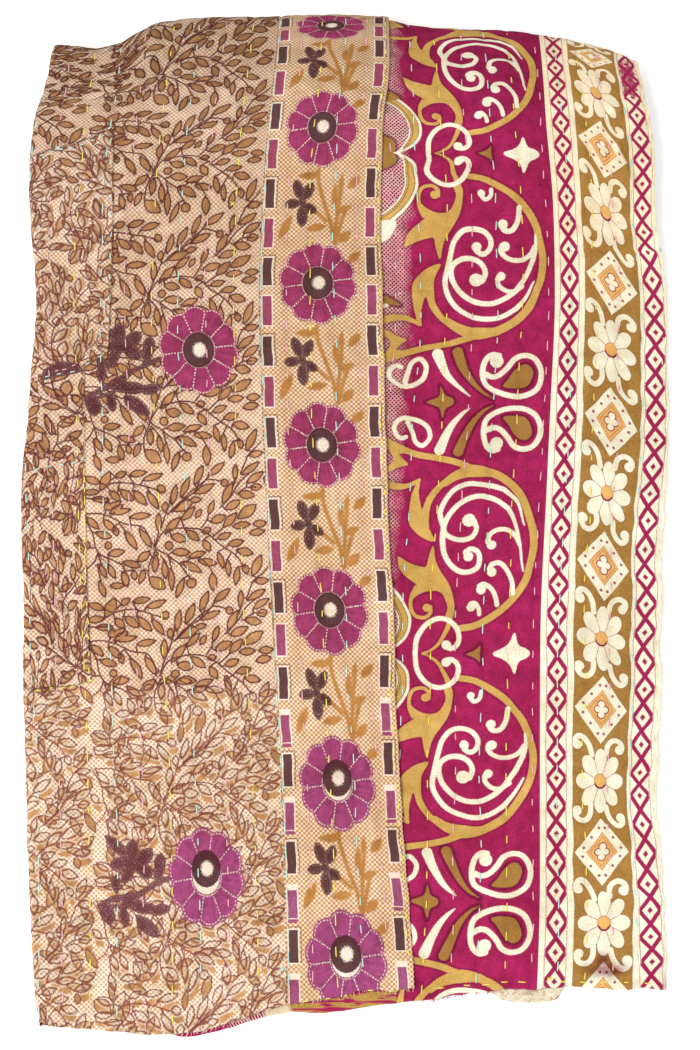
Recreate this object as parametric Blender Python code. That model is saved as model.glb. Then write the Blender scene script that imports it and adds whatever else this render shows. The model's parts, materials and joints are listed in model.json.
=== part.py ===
"""A kantha quilt, folded and laid on a surface.

The quilted throw is one sheet, about 1.13 m wide and 2.32 m long. It lies magenta side up from
its right hem to a lengthwise fold at the left, and turns back over itself there, so that a flap
shows the leaf side. All of that is folded once crosswise, in a loose loop at the far end, so an
equal half lies underneath. The left then has four layers and the right has two.

Metres, +Z up. The origin is on the surface, at the middle of the footprint. X runs across the
throw, Y along it to the crosswise fold.
"""
import math

import bmesh
import bpy

MM = 0.001

# The cloth and the way its layers lie.
CLOTH = 2.8 * MM           # through both sari cloths and their quilting
LAYER_GAP = 1.4 * MM       # air between two layers that lie on each other
SIDE_FOLD_OPEN = 4.0 * MM  # how much further apart the two layers stand at the left fold
SIDE_FOLD_REACH = 55 * MM  # ... which dies away over this width
SAG_WIDTH = 34 * MM        # beside the flap's hem the lower layers sink down over this width

# The crosswise fold is a loose loop, flat where it lies and round at its end.
RISE_LENGTH = 300 * MM     # where the upper half starts to rise, measured from the loop's end
CREST_TO_END = 95 * MM     # the top of the loop, measured from the loop's end
UNDER_CURVE = 30 * MM      # how far the end's curve runs back underneath

# The running stitch draws the cloth in along rows that run the length of the throw.
ROW_PITCH = 28 * MM
ROW_DEPTH = 0.45 * MM      # on each side of the cloth

# Spacing of the mesh's rows along the throw.
FRONT_STEPS = 10
RISE_STEPS = 4
OVER_STEPS = 5
UNDER_STEPS = 3
BACK_STEPS = 6
BEND_STEPS = 6
HEM_STEP = 12 * MM         # the first row inside each end hem

# Where the long edges run. Rows from the near end to the far end, in millimetres.
EDGE_COLUMNS = ("y", "left_fold", "flap_hem", "right_hem")
EDGES = (
    (-580, -322, 74, 339),
    (-540, -328, 72, 339),
    (-440, -337, 66, 337),
    (-330, -343, 58, 335),
    (-220, -350, 53, 341),
    (-110, -352, 50, 346),
    (0, -359, 45, 352),
    (120, -354, 42, 356),
    (240, -349, 40, 359),
    (350, -358, 38, 351),
    (440, -355, 41, 344),
    (495, -342, 47, 338),
    (580, -332, 47, 333),
)

# Where the four end hems run, from left to right, in millimetres.
HEM_COLUMNS = ("x", "flap", "front", "back", "back_flap")
HEMS = (
    (-325, -565, -565, -552, -550),
    (-250, -572, -562, -550, -545),
    (-165, -578, -574, -552, -541),
    (-80, -549, -557, -535, -532),
    (0, -534, -549, -530, -528),
    (72, -526, -540, -530, -525),
    (150, -520, -530, -530, -520),
    (165, -520, -528, -541, -520),
    (195, -520, -527, -543, -520),
    (228, -520, -526, -540, -520),
    (242, -520, -525, -520, -520),
    (340, -520, -529, -516, -520),
)

# The loop from left to right: where its inner face ends, and how high that face rises.
LOOP_COLUMNS = ("x", "end", "crest")
LOOP = (
    (-345, 533, 37),
    (-270, 537, 44),
    (-215, 563, 51),
    (-70, 571, 53),
    (40, 571, 52),
    (90, 563, 49),
    (210, 558, 43),
    (290, 542, 33),
    (340, 523, 22),
)

# Soft swells of the upper half, in millimetres and degrees.
SWELL_COLUMNS = ("x", "y", "half_length", "half_width", "turn", "rise")
SWELLS = (
    (-275, 40, 260, 55, 86, 2.2),
    (-230, -300, 210, 70, 60, 1.8),
    (-120, 180, 190, 80, 105, 1.5),
    (-60, -410, 170, 60, 140, 1.6),
    (130, 120, 230, 60, 92, 1.4),
    (250, -230, 220, 55, 84, 1.9),
    (290, 260, 190, 45, 95, 1.7),
)


def spline(table, columns, name, at):
    """A smooth curve through one column of a table, read at a place in its first column."""
    column = columns.index(name)
    knots = [row[0] * MM for row in table]
    values = [row[column] * MM for row in table]
    at = min(max(at, knots[0]), knots[-1])
    right = next(index for index in range(1, len(knots)) if at <= knots[index])
    left = right - 1

    def slope(index):
        before, after = max(index - 1, 0), min(index + 1, len(knots) - 1)
        return (values[after] - values[before]) / (knots[after] - knots[before])

    span = knots[right] - knots[left]
    t = (at - knots[left]) / span
    start, end = values[left], values[right]
    start_slope, end_slope = slope(left) * span, slope(right) * span
    curve = (2 * start - 2 * end + start_slope + end_slope) * t ** 3
    curve += (3 * end - 3 * start - 2 * start_slope - end_slope) * t ** 2
    return curve + start_slope * t + start


def edge(name, y):
    return spline(EDGES, EDGE_COLUMNS, name, y)


def hem(name, x):
    return spline(HEMS, HEM_COLUMNS, name, x)


def loop(name, x):
    return spline(LOOP, LOOP_COLUMNS, name, x)


def ease(value):
    """0 below 0, 1 above 1, and a soft step between."""
    value = min(max(value, 0.0), 1.0)
    return value * value * (3 - 2 * value)


# Across the throw: the section of the main layer, the left fold and the flap.

SIDE_FOLD_RADIUS = (CLOTH + LAYER_GAP + SIDE_FOLD_OPEN) / 2


def fold_axis(y):
    """X of the line that the left fold turns around."""
    return edge("left_fold", y) + SIDE_FOLD_RADIUS + CLOTH / 2


def fold_opening(x, y):
    """How much further apart the main layer and the flap lie here, near the left fold."""
    return SIDE_FOLD_OPEN * ease(1 - (x - fold_axis(y)) / SIDE_FOLD_REACH)


def stack_height(x, y):
    """The height of the main layer and the flap together, or of the main layer alone."""
    under_flap = ease(1 - (x - edge("flap_hem", y) - LAYER_GAP) / SAG_WIDTH)
    return CLOTH + (CLOTH + LAYER_GAP) * under_flap + fold_opening(x, y)


def section_point(band, share, y, offset):
    """X and height in the section across the throw. Offset is towards the magenta side."""
    axis = fold_axis(y)
    if band == "main":
        right = edge("right_hem", y)
        return right + (axis - right) * share, CLOTH / 2 + offset
    if band == "bend":
        angle = math.pi * share
        radius = SIDE_FOLD_RADIUS - offset
        middle = CLOTH / 2 + SIDE_FOLD_RADIUS
        return axis - radius * math.sin(angle), middle - radius * math.cos(angle)
    x = axis + (edge("flap_hem", y) - axis) * share
    return x, 1.5 * CLOTH + LAYER_GAP + fold_opening(x, y) - offset


# Along the throw: the inner face of the main layer, and the way it faces.

def swell(x, y):
    """The rise of the upper half's soft swells."""
    total = 0.0
    for row in SWELLS:
        at = dict(zip(SWELL_COLUMNS, row))
        turn = math.radians(at["turn"])
        dx, dy = x - at["x"] * MM, y - at["y"] * MM
        long = (dx * math.cos(turn) + dy * math.sin(turn)) / (at["half_length"] * MM)
        wide = (dy * math.cos(turn) - dx * math.sin(turn)) / (at["half_width"] * MM)
        total += at["rise"] * MM * math.exp(-2 * (long * long + wide * wide))
    return total


def front_floor(x, y):
    """The height at which the upper half lies on the lower one."""
    return stack_height(x, y) + LAYER_GAP + swell(x, y)


def base_point(stretch, share, x, hem_y):
    """Y, Z and the outward direction of the main layer's inner face, along the throw."""
    end = loop("end", x)
    start, crest_y = end - RISE_LENGTH, end - CREST_TO_END
    low = stack_height(x, end - UNDER_CURVE)
    crest = loop("crest", x)
    middle, half = (crest + low) / 2, (crest - low) / 2
    if stretch == "front":
        y = hem_y + (start - hem_y) * share
        return y, front_floor(x, y), 0.0, 1.0
    if stretch == "rise":
        y = start + (crest_y - start) * share
        lift = crest - front_floor(x, y)
        steepness = lift * 6 * share * (1 - share) / (crest_y - start)
        length = math.hypot(steepness, 1.0)
        return y, front_floor(x, y) + lift * ease(share), -steepness / length, 1 / length
    if stretch == "back":
        start_back = end - UNDER_CURVE
        y = start_back + (hem_y - start_back) * share
        return y, stack_height(x, y), 0.0, -1.0
    angle = math.pi / 2 * (share if stretch == "over" else 1 + share)
    reach = CREST_TO_END if stretch == "over" else UNDER_CURVE
    out_y, out_z = math.sin(angle) / reach, math.cos(angle) / half
    length = math.hypot(out_y, out_z)
    y = end - reach + reach * math.sin(angle)
    return y, middle + half * math.cos(angle), out_y / length, out_z / length


def hem_line(band, share, stretch, x):
    """Y of the end hem that this stretch of cloth runs to."""
    main = "back" if stretch == "back" else "front"
    flap = "back_flap" if stretch == "back" else "flap"
    if band == "main":
        return hem(main, x)
    if band == "flap":
        return hem(flap, x)
    return hem(main, x) + (hem(flap, x) - hem(main, x)) * share


def cloth_point(across, along, offset):
    """The place of one point of the throw, from its stations across and along."""
    band, across_share = across
    stretch, along_share = along
    x, y = 0.0, 0.0
    for _ in range(3):
        x, height = section_point(band, across_share, y, offset)
        hem_y = hem_line(band, across_share, stretch, x)
        y, z, out_y, out_z = base_point(stretch, along_share, x, hem_y)
    return x, y + out_y * height, z + out_z * height


# The mesh: a flat grid of stations, made solid and then folded.

def across_stations():
    """Bands across the throw with their shares, in even steps of half a stitch row."""
    main_width = edge("right_hem", 0) - fold_axis(0)
    flap_width = edge("flap_hem", 0) - fold_axis(0)
    main_steps = 2 * round(main_width / ROW_PITCH)
    flap_steps = 2 * round(flap_width / ROW_PITCH)
    stations = [("main", step / main_steps) for step in range(main_steps)]
    stations += [("bend", step / BEND_STEPS) for step in range(BEND_STEPS)]
    return stations + [("flap", step / flap_steps) for step in range(flap_steps + 1)]


def along_stations():
    """Stretches along the throw with their shares, from the front hem to the back hem."""
    front_length = loop("end", 0) - RISE_LENGTH - hem("front", 0)
    back_length = loop("end", 0) - UNDER_CURVE - hem("back", 0)
    stations = [("front", 0.0), ("front", HEM_STEP / front_length)]
    stations += [("front", step / FRONT_STEPS) for step in range(1, FRONT_STEPS)]
    stations += [("rise", step / RISE_STEPS) for step in range(RISE_STEPS)]
    stations += [("over", step / OVER_STEPS) for step in range(OVER_STEPS)]
    stations += [("under", step / UNDER_STEPS) for step in range(UNDER_STEPS)]
    stations += [("back", step / BACK_STEPS) for step in range(BACK_STEPS)]
    return stations + [("back", 1 - HEM_STEP / back_length), ("back", 1.0)]


def half_thickness(column, band, stretch, side):
    """Half the cloth's thickness: drawn in at every other station, where a stitch row runs.
    The face that lies on the surface is pressed flat."""
    hem_or_fold = band == "bend" or column == 0
    faces_down = stretch in ("under", "back") and side == (-1 if band == "flap" else 1)
    if column % 2 == 0 or hem_or_fold or faces_down:
        return CLOTH / 2
    return CLOTH / 2 - ROW_DEPTH


def quilt_mesh():
    across, along = across_stations(), along_stations()
    columns, rows = len(across) - 1, len(along) - 1
    sheet = bmesh.new()
    bmesh.ops.create_grid(sheet, x_segments=columns, y_segments=rows, size=0.5)
    raised = bmesh.ops.extrude_face_region(sheet, geom=sheet.faces[:])["geom"]
    for vertex in (item for item in raised if isinstance(item, bmesh.types.BMVert)):
        vertex.co.z = 1.0
    bmesh.ops.recalc_face_normals(sheet, faces=sheet.faces[:])
    bmesh.ops.reverse_faces(sheet, faces=sheet.faces[:])  # the stations run from right to left
    for vertex in sheet.verts:
        column = round((vertex.co.x + 0.5) * columns)
        row = round((vertex.co.y + 0.5) * rows)
        side = 1 if vertex.co.z > 0.5 else -1
        offset = side * half_thickness(column, across[column][0], along[row][0], side)
        vertex.co = cloth_point(across[column], along[row], offset)
    bmesh.ops.triangulate(sheet, faces=sheet.faces[:])
    mesh = bpy.data.meshes.new("quilt")
    sheet.to_mesh(mesh)
    sheet.free()
    mesh.shade_smooth()
    return mesh


def cloth_material():
    material = bpy.data.materials.new("printed_cotton")
    material.use_nodes = True
    surface = material.node_tree.nodes["Principled BSDF"]
    surface.inputs["Base Color"].default_value = (0.42, 0.13, 0.16, 1.0)
    surface.inputs["Roughness"].default_value = 0.85
    surface.inputs["Metallic"].default_value = 0.0
    return material


def main():
    for item in list(bpy.data.objects):
        bpy.data.objects.remove(item)
    collection = bpy.data.collections.new("kantha_quilt")
    bpy.context.scene.collection.children.link(collection)
    quilt = bpy.data.objects.new("quilt", quilt_mesh())
    quilt.data.materials.append(cloth_material())
    collection.objects.link(quilt)


main()
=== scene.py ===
"""The looks of a kantha quilt, folded lengthwise and then crosswise, and laid on a surface.

Each face of the cloth is a fine grid of stations, laid out by the same rules as the solid. The
printed sari cloths are painted by nodes, from distances that are worked out at every vertex.

Lengths are in millimetres until a mesh is written. U runs across the throw, V and A along it.
"""
import json
import math

import bmesh
import bpy
import numpy as np
from bpy.props import FloatProperty, FloatVectorProperty, IntProperty, PointerProperty
from mathutils import Matrix, Vector

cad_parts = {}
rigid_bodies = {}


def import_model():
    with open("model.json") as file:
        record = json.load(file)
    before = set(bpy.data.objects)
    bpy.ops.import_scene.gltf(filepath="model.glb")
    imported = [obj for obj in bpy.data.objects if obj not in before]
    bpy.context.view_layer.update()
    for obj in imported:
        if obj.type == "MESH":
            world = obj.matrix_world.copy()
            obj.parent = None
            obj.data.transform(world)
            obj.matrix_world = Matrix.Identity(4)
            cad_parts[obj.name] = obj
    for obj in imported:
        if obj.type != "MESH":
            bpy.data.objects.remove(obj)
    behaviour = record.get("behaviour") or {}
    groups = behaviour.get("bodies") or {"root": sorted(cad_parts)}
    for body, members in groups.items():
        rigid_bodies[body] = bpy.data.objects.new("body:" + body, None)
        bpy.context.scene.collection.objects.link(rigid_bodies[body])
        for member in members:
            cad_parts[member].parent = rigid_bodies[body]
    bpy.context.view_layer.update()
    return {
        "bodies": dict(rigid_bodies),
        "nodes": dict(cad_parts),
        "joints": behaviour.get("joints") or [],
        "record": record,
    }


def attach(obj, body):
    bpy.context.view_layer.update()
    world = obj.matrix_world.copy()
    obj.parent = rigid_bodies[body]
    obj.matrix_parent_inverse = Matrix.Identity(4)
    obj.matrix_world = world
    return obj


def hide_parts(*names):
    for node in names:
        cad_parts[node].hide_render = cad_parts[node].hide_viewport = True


bl_info = {
    "name": "Kantha Quilt",
    "version": (1, 0, 0),
    "blender": (4, 5, 0),
    "location": "3D View > Sidebar > Quilt",
    "description": "A folded kantha quilt of printed sari cloth with running stitches",
    "category": "Object",
}

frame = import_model()
MM = 0.001
NODE = "quilt"
BODY = "root"

DYE = 0.80                 # the studio light is bright, so all dyes are this much darker


def paint(red, green, blue):
    """A linear colour from its usual 0 to 255 numbers."""
    def linear(value):
        value /= 255
        return value / 12.92 if value <= 0.04045 else ((value + 0.055) / 1.055) ** 2.4
    return (linear(red) * DYE, linear(green) * DYE, linear(blue) * DYE, 1.0)


def colour(name, about, red, green, blue):
    return FloatVectorProperty(name=name, description=about, subtype="COLOR", size=4,
                               min=0.0, max=1.0, default=paint(red, green, blue))


def size(name, about, value, unit="LENGTH"):
    return FloatProperty(name=name, description=about, default=value, min=0.0, unit=unit)


class QuiltSizes(bpy.types.PropertyGroup):
    """Sizes of the quilting and of the meshes."""
    fine_step: size("Fine mesh", "Spacing of the mesh on the faces that show", 0.0019)
    under_step: size("Coarse mesh", "Spacing of the mesh on the faces below", 0.0036)
    inner_step: size("Inner mesh", "Spacing of the mesh on the faces between the layers", 0.0085)
    stitch_pitch: size("Stitch pitch", "From one running stitch to the next", 0.033)
    stitch_length: size("Stitch length", "Length of thread that shows", 0.0105)
    thread_width: size("Thread width", "Width of the sewing thread", 0.0014)
    row_depth: size("Row depth", "How deep a row of stitches draws the cloth in", 0.0009)
    pucker_depth: size("Pucker depth", "Height of the small puckers between the rows", 0.0009)
    daisy_petals: IntProperty(name="Daisy petals", description="Petals of each daisy",
                              default=8, min=4, max=16)


class QuiltColours(bpy.types.PropertyGroup):
    """Colours of the prints and the threads."""
    magenta: colour("Magenta", "Ground of the scroll print", 168, 36, 86)
    cream: colour("Cream", "Unprinted parts of the scroll print", 250, 242, 213)
    ochre: colour("Ochre", "Scrolls and medallions", 216, 172, 92)
    olive: colour("Olive", "Ground of the daisy band", 171, 125, 62)
    plum: colour("Plum", "Dark leaves, dashes and flower rings", 84, 42, 48)
    petal: colour("Petal", "Flowers of the leaf cloth", 157, 58, 97)
    worn_petal: colour("Worn petal", "Flowers where the cloth is washed out", 158, 70, 115)
    cotton: colour("Cotton", "Pale ground of the leaf cloth", 247, 228, 207)
    dot: colour("Dots", "Dots of the leaf cloth's ground", 200, 148, 100)
    leaf: colour("Leaves", "Filling of the small leaves", 186, 133, 86)
    line: colour("Leaf lines", "Outlines and stems of the small leaves", 94, 46, 44)
    spray: colour("Sprays", "Leaves of the flower border", 186, 124, 54)
    apricot: colour("Apricot", "Middles of the daisies and lozenges", 240, 184, 106)
    yellow: colour("Yellow thread", "Yellow sewing thread", 255, 240, 96)
    aqua: colour("Aqua thread", "Pale aqua sewing thread", 196, 244, 232)
    pink: colour("Pink thread", "Pink sewing thread", 250, 186, 202)


# The lay of the folded throw, as in the solid.

CLOTH = 2.8
HALF = CLOTH / 2
LAYER_GAP = 1.4
SIDE_FOLD_OPEN = 4.0
SIDE_FOLD_REACH = 55.0
SIDE_FOLD_RADIUS = (CLOTH + LAYER_GAP + SIDE_FOLD_OPEN) / 2
SAG_WIDTH = 34.0
RISE_LENGTH = 300.0
CREST_TO_END = 95.0
UNDER_CURVE = 30.0
TUCK = 20.0                # how far the print of the main layer goes on under the flap's hem

MAIN, BEND, FLAP = range(3)
FRONT, RISE, OVER, UNDER, BACK = range(5)


class Table:
    """Rows of sizes with named columns, read as smooth curves along the first column."""

    def __init__(self, columns, rows):
        numbers = np.array(rows, float)
        self.columns = {name: numbers[:, index] for index, name in enumerate(columns)}
        self.knots = numbers[:, 0]

    def rows(self):
        names = list(self.columns)
        return [dict(zip(names, row)) for row in zip(*self.columns.values())]

    def at(self, name, place):
        knots, values = self.knots, self.columns[name]
        last = len(knots) - 1
        before = np.maximum(np.arange(last + 1) - 1, 0)
        after = np.minimum(np.arange(last + 1) + 1, last)
        slopes = (values[after] - values[before]) / (knots[after] - knots[before])
        place = np.clip(place, knots[0], knots[-1])
        right = np.clip(np.searchsorted(knots, place), 1, last)
        left = right - 1
        width = knots[right] - knots[left]
        t = (place - knots[left]) / width
        start, end = values[left], values[right]
        leave, arrive = slopes[left] * width, slopes[right] * width
        curve = (2 * start - 2 * end + leave + arrive) * t ** 3
        return curve + (3 * end - 3 * start - 2 * leave - arrive) * t ** 2 + leave * t + start


EDGES = Table(("y", "left_fold", "flap_hem", "right_hem"), (
    (-580, -322, 74, 339), (-540, -328, 72, 339), (-440, -337, 66, 337), (-330, -343, 58, 334),
    (-220, -350, 53, 339), (-110, -352, 50, 344), (0, -359, 45, 351.5), (120, -354, 42, 357.5),
    (240, -349, 40, 360), (350, -358, 38, 351), (440, -355, 41, 346.5), (495, -342, 47, 338),
    (580, -332, 47, 333)))
HEMS = Table(("x", "flap", "front", "back", "back_flap"), (
    (-325, -565, -565, -552, -550), (-250, -572, -562, -550, -545),
    (-165, -574.5, -577.5, -552, -541), (-80, -549, -557, -535, -532),
    (0, -534, -549, -530, -528), (72, -526, -540, -530, -525), (150, -520, -530, -530, -520),
    (165, -520, -528, -539, -520), (195, -520, -527, -540, -520), (222, -520, -526, -537, -520),
    (234, -520, -525, -520, -520), (340, -520, -529, -516, -520)))
LOOP = Table(("x", "end", "crest"), (
    (-345, 533, 37), (-270, 537, 44), (-215, 563, 51), (-70, 571, 53), (40, 571, 52),
    (90, 563, 49), (210, 558, 43), (290, 542, 33), (340, 523, 22)))
SWELLS = Table(("x", "y", "half_length", "half_width", "turn", "rise"), (
    (-275, 40, 260, 55, 86, 2.2), (-230, -300, 210, 70, 60, 1.8),
    (-120, 180, 190, 80, 105, 1.5), (-60, -410, 170, 60, 140, 1.6),
    (130, 120, 230, 60, 92, 1.4), (250, -230, 220, 55, 84, 1.9),
    (290, 260, 190, 45, 95, 1.7)))
# Where the two printed borders start.
PRINT_LINES = Table(("y", "seam", "border"), (
    (-580, -63, 198), (-540, -64, 200), (-440, -66, 205), (-330, -70, 207), (-220, -76, 209),
    (-110, -83, 212), (0, -89, 219), (120, -95, 226.5), (240, -99, 233.5), (350, -96, 232.5),
    (440, -89, 225), (495, -83, 222.5), (580, -77, 218)))


def ease(value):
    """0 below 0, 1 above 1, and a soft step between."""
    value = np.clip(value, 0.0, 1.0)
    return value * value * (3 - 2 * value)


def wrap(value, pitch):
    """How far a value lies from the nearest whole repeat."""
    return value - pitch * np.round(value / pitch)


def turned(dx, dy, degrees):
    """The same distance, as lengths along and across a direction turned this far."""
    turn = math.radians(degrees)
    return (dx * math.cos(turn) + dy * math.sin(turn),
            dy * math.cos(turn) - dx * math.sin(turn))


def fold_axis(y):
    return EDGES.at("left_fold", y) + SIDE_FOLD_RADIUS + HALF


def scallop(y):
    """The right hem is drawn into small waves by its stitches."""
    pleat = 2.4 * (ease((y - 296) / 6) - ease((y - 330) / 60))
    return 1.5 * soft_noise(y / 15, 0.0, 24) + 1.3 * soft_noise(y / 38, 0.0, 25) - pleat


def ragged(x):
    """The near hems are frayed and uneven."""
    return 1.1 * soft_noise(x / 8, 0.0, 26) + 1.8 * soft_noise(x / 29, 0.0, 27)


LINES = {
    "fold axis": fold_axis,
    "seam": lambda y: PRINT_LINES.at("seam", y),
    "flap hem": lambda y: EDGES.at("flap_hem", y) + 0.8 * soft_noise(y / 24, 0.0, 28),
    "tuck": lambda y: EDGES.at("flap_hem", y) - TUCK,
    "border": lambda y: PRINT_LINES.at("border", y),
    "right hem": lambda y: EDGES.at("right_hem", y) + scallop(y),
}


def fold_opening(x, y):
    return SIDE_FOLD_OPEN * ease(1 - (x - fold_axis(y)) / SIDE_FOLD_REACH)


def stack_height(x, y):
    under_flap = ease(1 - (x - EDGES.at("flap_hem", y) - LAYER_GAP) / SAG_WIDTH)
    return CLOTH + (CLOTH + LAYER_GAP) * under_flap + fold_opening(x, y)


def section_point(band, share, y, offset):
    """X and height across the throw. The offset is towards the magenta side."""
    axis, right = fold_axis(y), EDGES.at("right_hem", y)
    turn = np.pi * share
    radius = SIDE_FOLD_RADIUS - offset
    flap_x = axis + (EDGES.at("flap_hem", y) - axis) * share
    flap_height = 1.5 * CLOTH + LAYER_GAP + fold_opening(flap_x, y) - offset
    main, bend = band == MAIN, band == BEND
    x = np.where(main, right + (axis - right) * share,
                 np.where(bend, axis - radius * np.sin(turn), flap_x))
    bend_height = HALF + SIDE_FOLD_RADIUS - radius * np.cos(turn)
    return x, np.where(main, HALF + offset, np.where(bend, bend_height, flap_height))


def swell(x, y):
    total = 0.0
    for row in SWELLS.rows():
        long, wide = turned(x - row["x"], y - row["y"], row["turn"])
        long, wide = long / row["half_length"], wide / row["half_width"]
        total = total + row["rise"] * np.exp(-2 * (long * long + wide * wide))
    return total


def front_floor(x, y):
    return stack_height(x, y) + LAYER_GAP + swell(x, y)


def base_point(stretch, share, x, hem_y):
    """Y, Z and the outward direction of the main layer's inner face, along the throw."""
    end, crest = LOOP.at("end", x), LOOP.at("crest", x)
    start, crest_y = end - RISE_LENGTH, end - CREST_TO_END
    low = stack_height(x, end - UNDER_CURVE)
    middle, half = (crest + low) / 2, (crest - low) / 2
    front_y = hem_y + (start - hem_y) * share
    rise_y = start + (crest_y - start) * share
    lift = crest - front_floor(x, rise_y)
    slope = lift * 6 * share * (1 - share) / (crest_y - start)
    back_start = end - UNDER_CURVE
    back_y = back_start + (hem_y - back_start) * share
    under = stretch == UNDER
    angle = np.pi / 2 * (share + under)
    reach = np.where(under, UNDER_CURVE, CREST_TO_END)
    curve_y, curve_z = end - reach + reach * np.sin(angle), middle + half * np.cos(angle)
    turn_y, turn_z = np.sin(angle) / reach, np.cos(angle) / half
    turn_length = np.hypot(turn_y, turn_z)
    cases = [stretch == FRONT, stretch == RISE, stretch == BACK]
    rise_length = np.hypot(slope, 1.0)

    def pick(front, rise, back, curve):
        return np.select([np.broadcast_to(case, x.shape) for case in cases],
                         [np.broadcast_to(value, x.shape) for value in (front, rise, back)],
                         curve)

    y = pick(front_y, rise_y, back_y, curve_y)
    z = pick(front_floor(x, front_y), front_floor(x, rise_y) + lift * ease(share),
             stack_height(x, back_y), curve_z)
    out_y = pick(0.0, -slope / rise_length, 0.0, turn_y / turn_length)
    return y, z, out_y, pick(1.0, 1 / rise_length, -1.0, turn_z / turn_length)


def hem_line(band, share, stretch, x):
    """Y of the end hem that this stretch of cloth runs to."""
    back = stretch == BACK
    main = np.where(back, HEMS.at("back", x), HEMS.at("front", x))
    flap = np.where(back, HEMS.at("back_flap", x), HEMS.at("flap", x))
    part = np.where(band == MAIN, 0.0, np.where(band == FLAP, 1.0, share))
    return main + (flap - main) * part + ragged(x + 300 * part)


# The stations of a piece: columns across the throw and rows along it.

# How far the stations on a rounded hem lie from its line, and how thick the cloth is there.
HEM_ROUND = [(HALF * (1 - math.sin(turn)), math.cos(turn))
             for turn in (math.radians(angle) for angle in (0, 30, 60, 90))]


class Span:
    """Columns of one band, from one line of the cloth to another."""

    def __init__(self, band, start, end, step, hemmed=False):
        self.band, self.start, self.end = band, start, end
        if band == BEND:
            width = math.pi * (SIDE_FOLD_RADIUS + HALF)
        else:
            width = abs(float(LINES[end](0.0) - LINES[start](0.0)))
        steps = max(6, round(width / step))
        self.columns = [(index / steps, 0.0, 1.0) for index in range(steps + 1)]
        if hemmed:
            self.columns[-1:] = [(1.0, inset, thickness) for inset, thickness in HEM_ROUND]

    def share(self, y, places, insets):
        """The share of the band at these places, where the throw is at y."""
        if self.band == BEND:
            return places + 0.0 * y
        start, end = LINES[self.start](y), LINES[self.end](y)
        x = start + (end - start) * places - insets * np.sign(end - start)
        axis = fold_axis(y)
        if self.band == MAIN:
            right = EDGES.at("right_hem", y)
            return (x - right) / (axis - right)
        return (x - axis) / (EDGES.at("flap_hem", y) - axis)


class Section:
    """All columns of a piece, across the throw."""

    def __init__(self, *spans):
        self.spans = spans
        columns = [(owner, *column) for owner, span in enumerate(spans)
                   for column in span.columns[min(owner, 1):]]
        self.owner = np.array([column[0] for column in columns])
        self.band = np.array([[spans[owner].band for owner in self.owner]])
        self.place, self.inset, self.round = np.array(columns)[:, 1:].T[:, None]

    def share(self, y):
        share = np.zeros(np.broadcast_shapes(y.shape, self.place.shape))
        y = np.broadcast_to(y, share.shape)
        for index, span in enumerate(self.spans):
            mine = self.owner == index
            share[:, mine] = span.share(y[:, mine], self.place[:, mine], self.inset[:, mine])
        return share


STRETCH_LENGTHS = {FRONT: 820.0, RISE: 210.0, OVER: 118.0, UNDER: 46.0, BACK: 1075.0}


class Rows:
    """Stations along the throw: a stretch, a share of it and the roundness at the end hems."""

    def __init__(self, step, stretches):
        rows = []
        for stretch in stretches:
            steps = max(12, round(STRETCH_LENGTHS[stretch] / step))
            first = 0 if stretch in (stretches[0], FRONT) else 1
            shares = [index / steps for index in range(first, steps + 1)]
            rows += [(stretch, share, 0.0, 1.0) for share in shares]
            if stretch == FRONT:
                rows[0:1] = [(FRONT, 0.0, *hem) for hem in reversed(HEM_ROUND)]
            if stretch == BACK:
                rows[-1:] = [(BACK, 1.0, *hem) for hem in HEM_ROUND]
        numbers = np.array(rows, float)
        self.stretch = numbers[:, 0:1].astype(int)
        self.share, self.inset, self.round = numbers[:, 1:2], numbers[:, 2:3], numbers[:, 3:4]


def cloth_points(section, rows, side, relief=0.0):
    """Places of all stations, on the magenta side (+1) or the leaf side (-1) of the cloth."""
    offset = side * (HALF + relief) * section.round * rows.round
    y = np.zeros((rows.share.shape[0], section.place.shape[1]))
    stretch = rows.stretch + 0 * y.astype(int)
    for _ in range(3):
        share = section.share(y)
        x, height = section_point(section.band, share, y, offset)
        hem_y = hem_line(section.band, share, stretch, x) + rows.inset
        y, z, out_y, out_z = base_point(stretch, rows.share, x, hem_y)
    return np.stack([x, y + out_y * height, z + out_z * height], axis=-1), share


def distance_along(points, rows):
    """Length along each column, measured from where it crosses the middle of the throw."""
    steps = np.linalg.norm(np.diff(points, axis=0), axis=-1)
    along = np.vstack([np.zeros((1, points.shape[1])), np.cumsum(steps, axis=0)])
    front = np.flatnonzero(rows.stretch[:, 0] == FRONT)
    for column in range(points.shape[1]):
        along[:, column] -= np.interp(0.0, points[front, column, 1], along[front, column])
    return along


# Small tools for the prints: smooth noise, distances to lines, leaves and shapes.

FAR = 40.0


def soft_noise(u, v, seed):
    """Smooth noise from -1 to 1 that changes over about one unit."""
    whole_u, whole_v = np.floor(u), np.floor(v)
    part_u, part_v = ease(u - whole_u), ease(v - whole_v)

    def corner(step_u, step_v):
        hashed = np.sin((whole_u + step_u) * 127.1 + (whole_v + step_v) * 311.7 + seed * 74.7)
        hashed = hashed * 43758.5453
        return (hashed - np.floor(hashed)) * 2 - 1

    low = corner(0, 0) * (1 - part_u) + corner(1, 0) * part_u
    high = corner(0, 1) * (1 - part_u) + corner(1, 1) * part_u
    return low * (1 - part_v) + high * part_v


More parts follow.
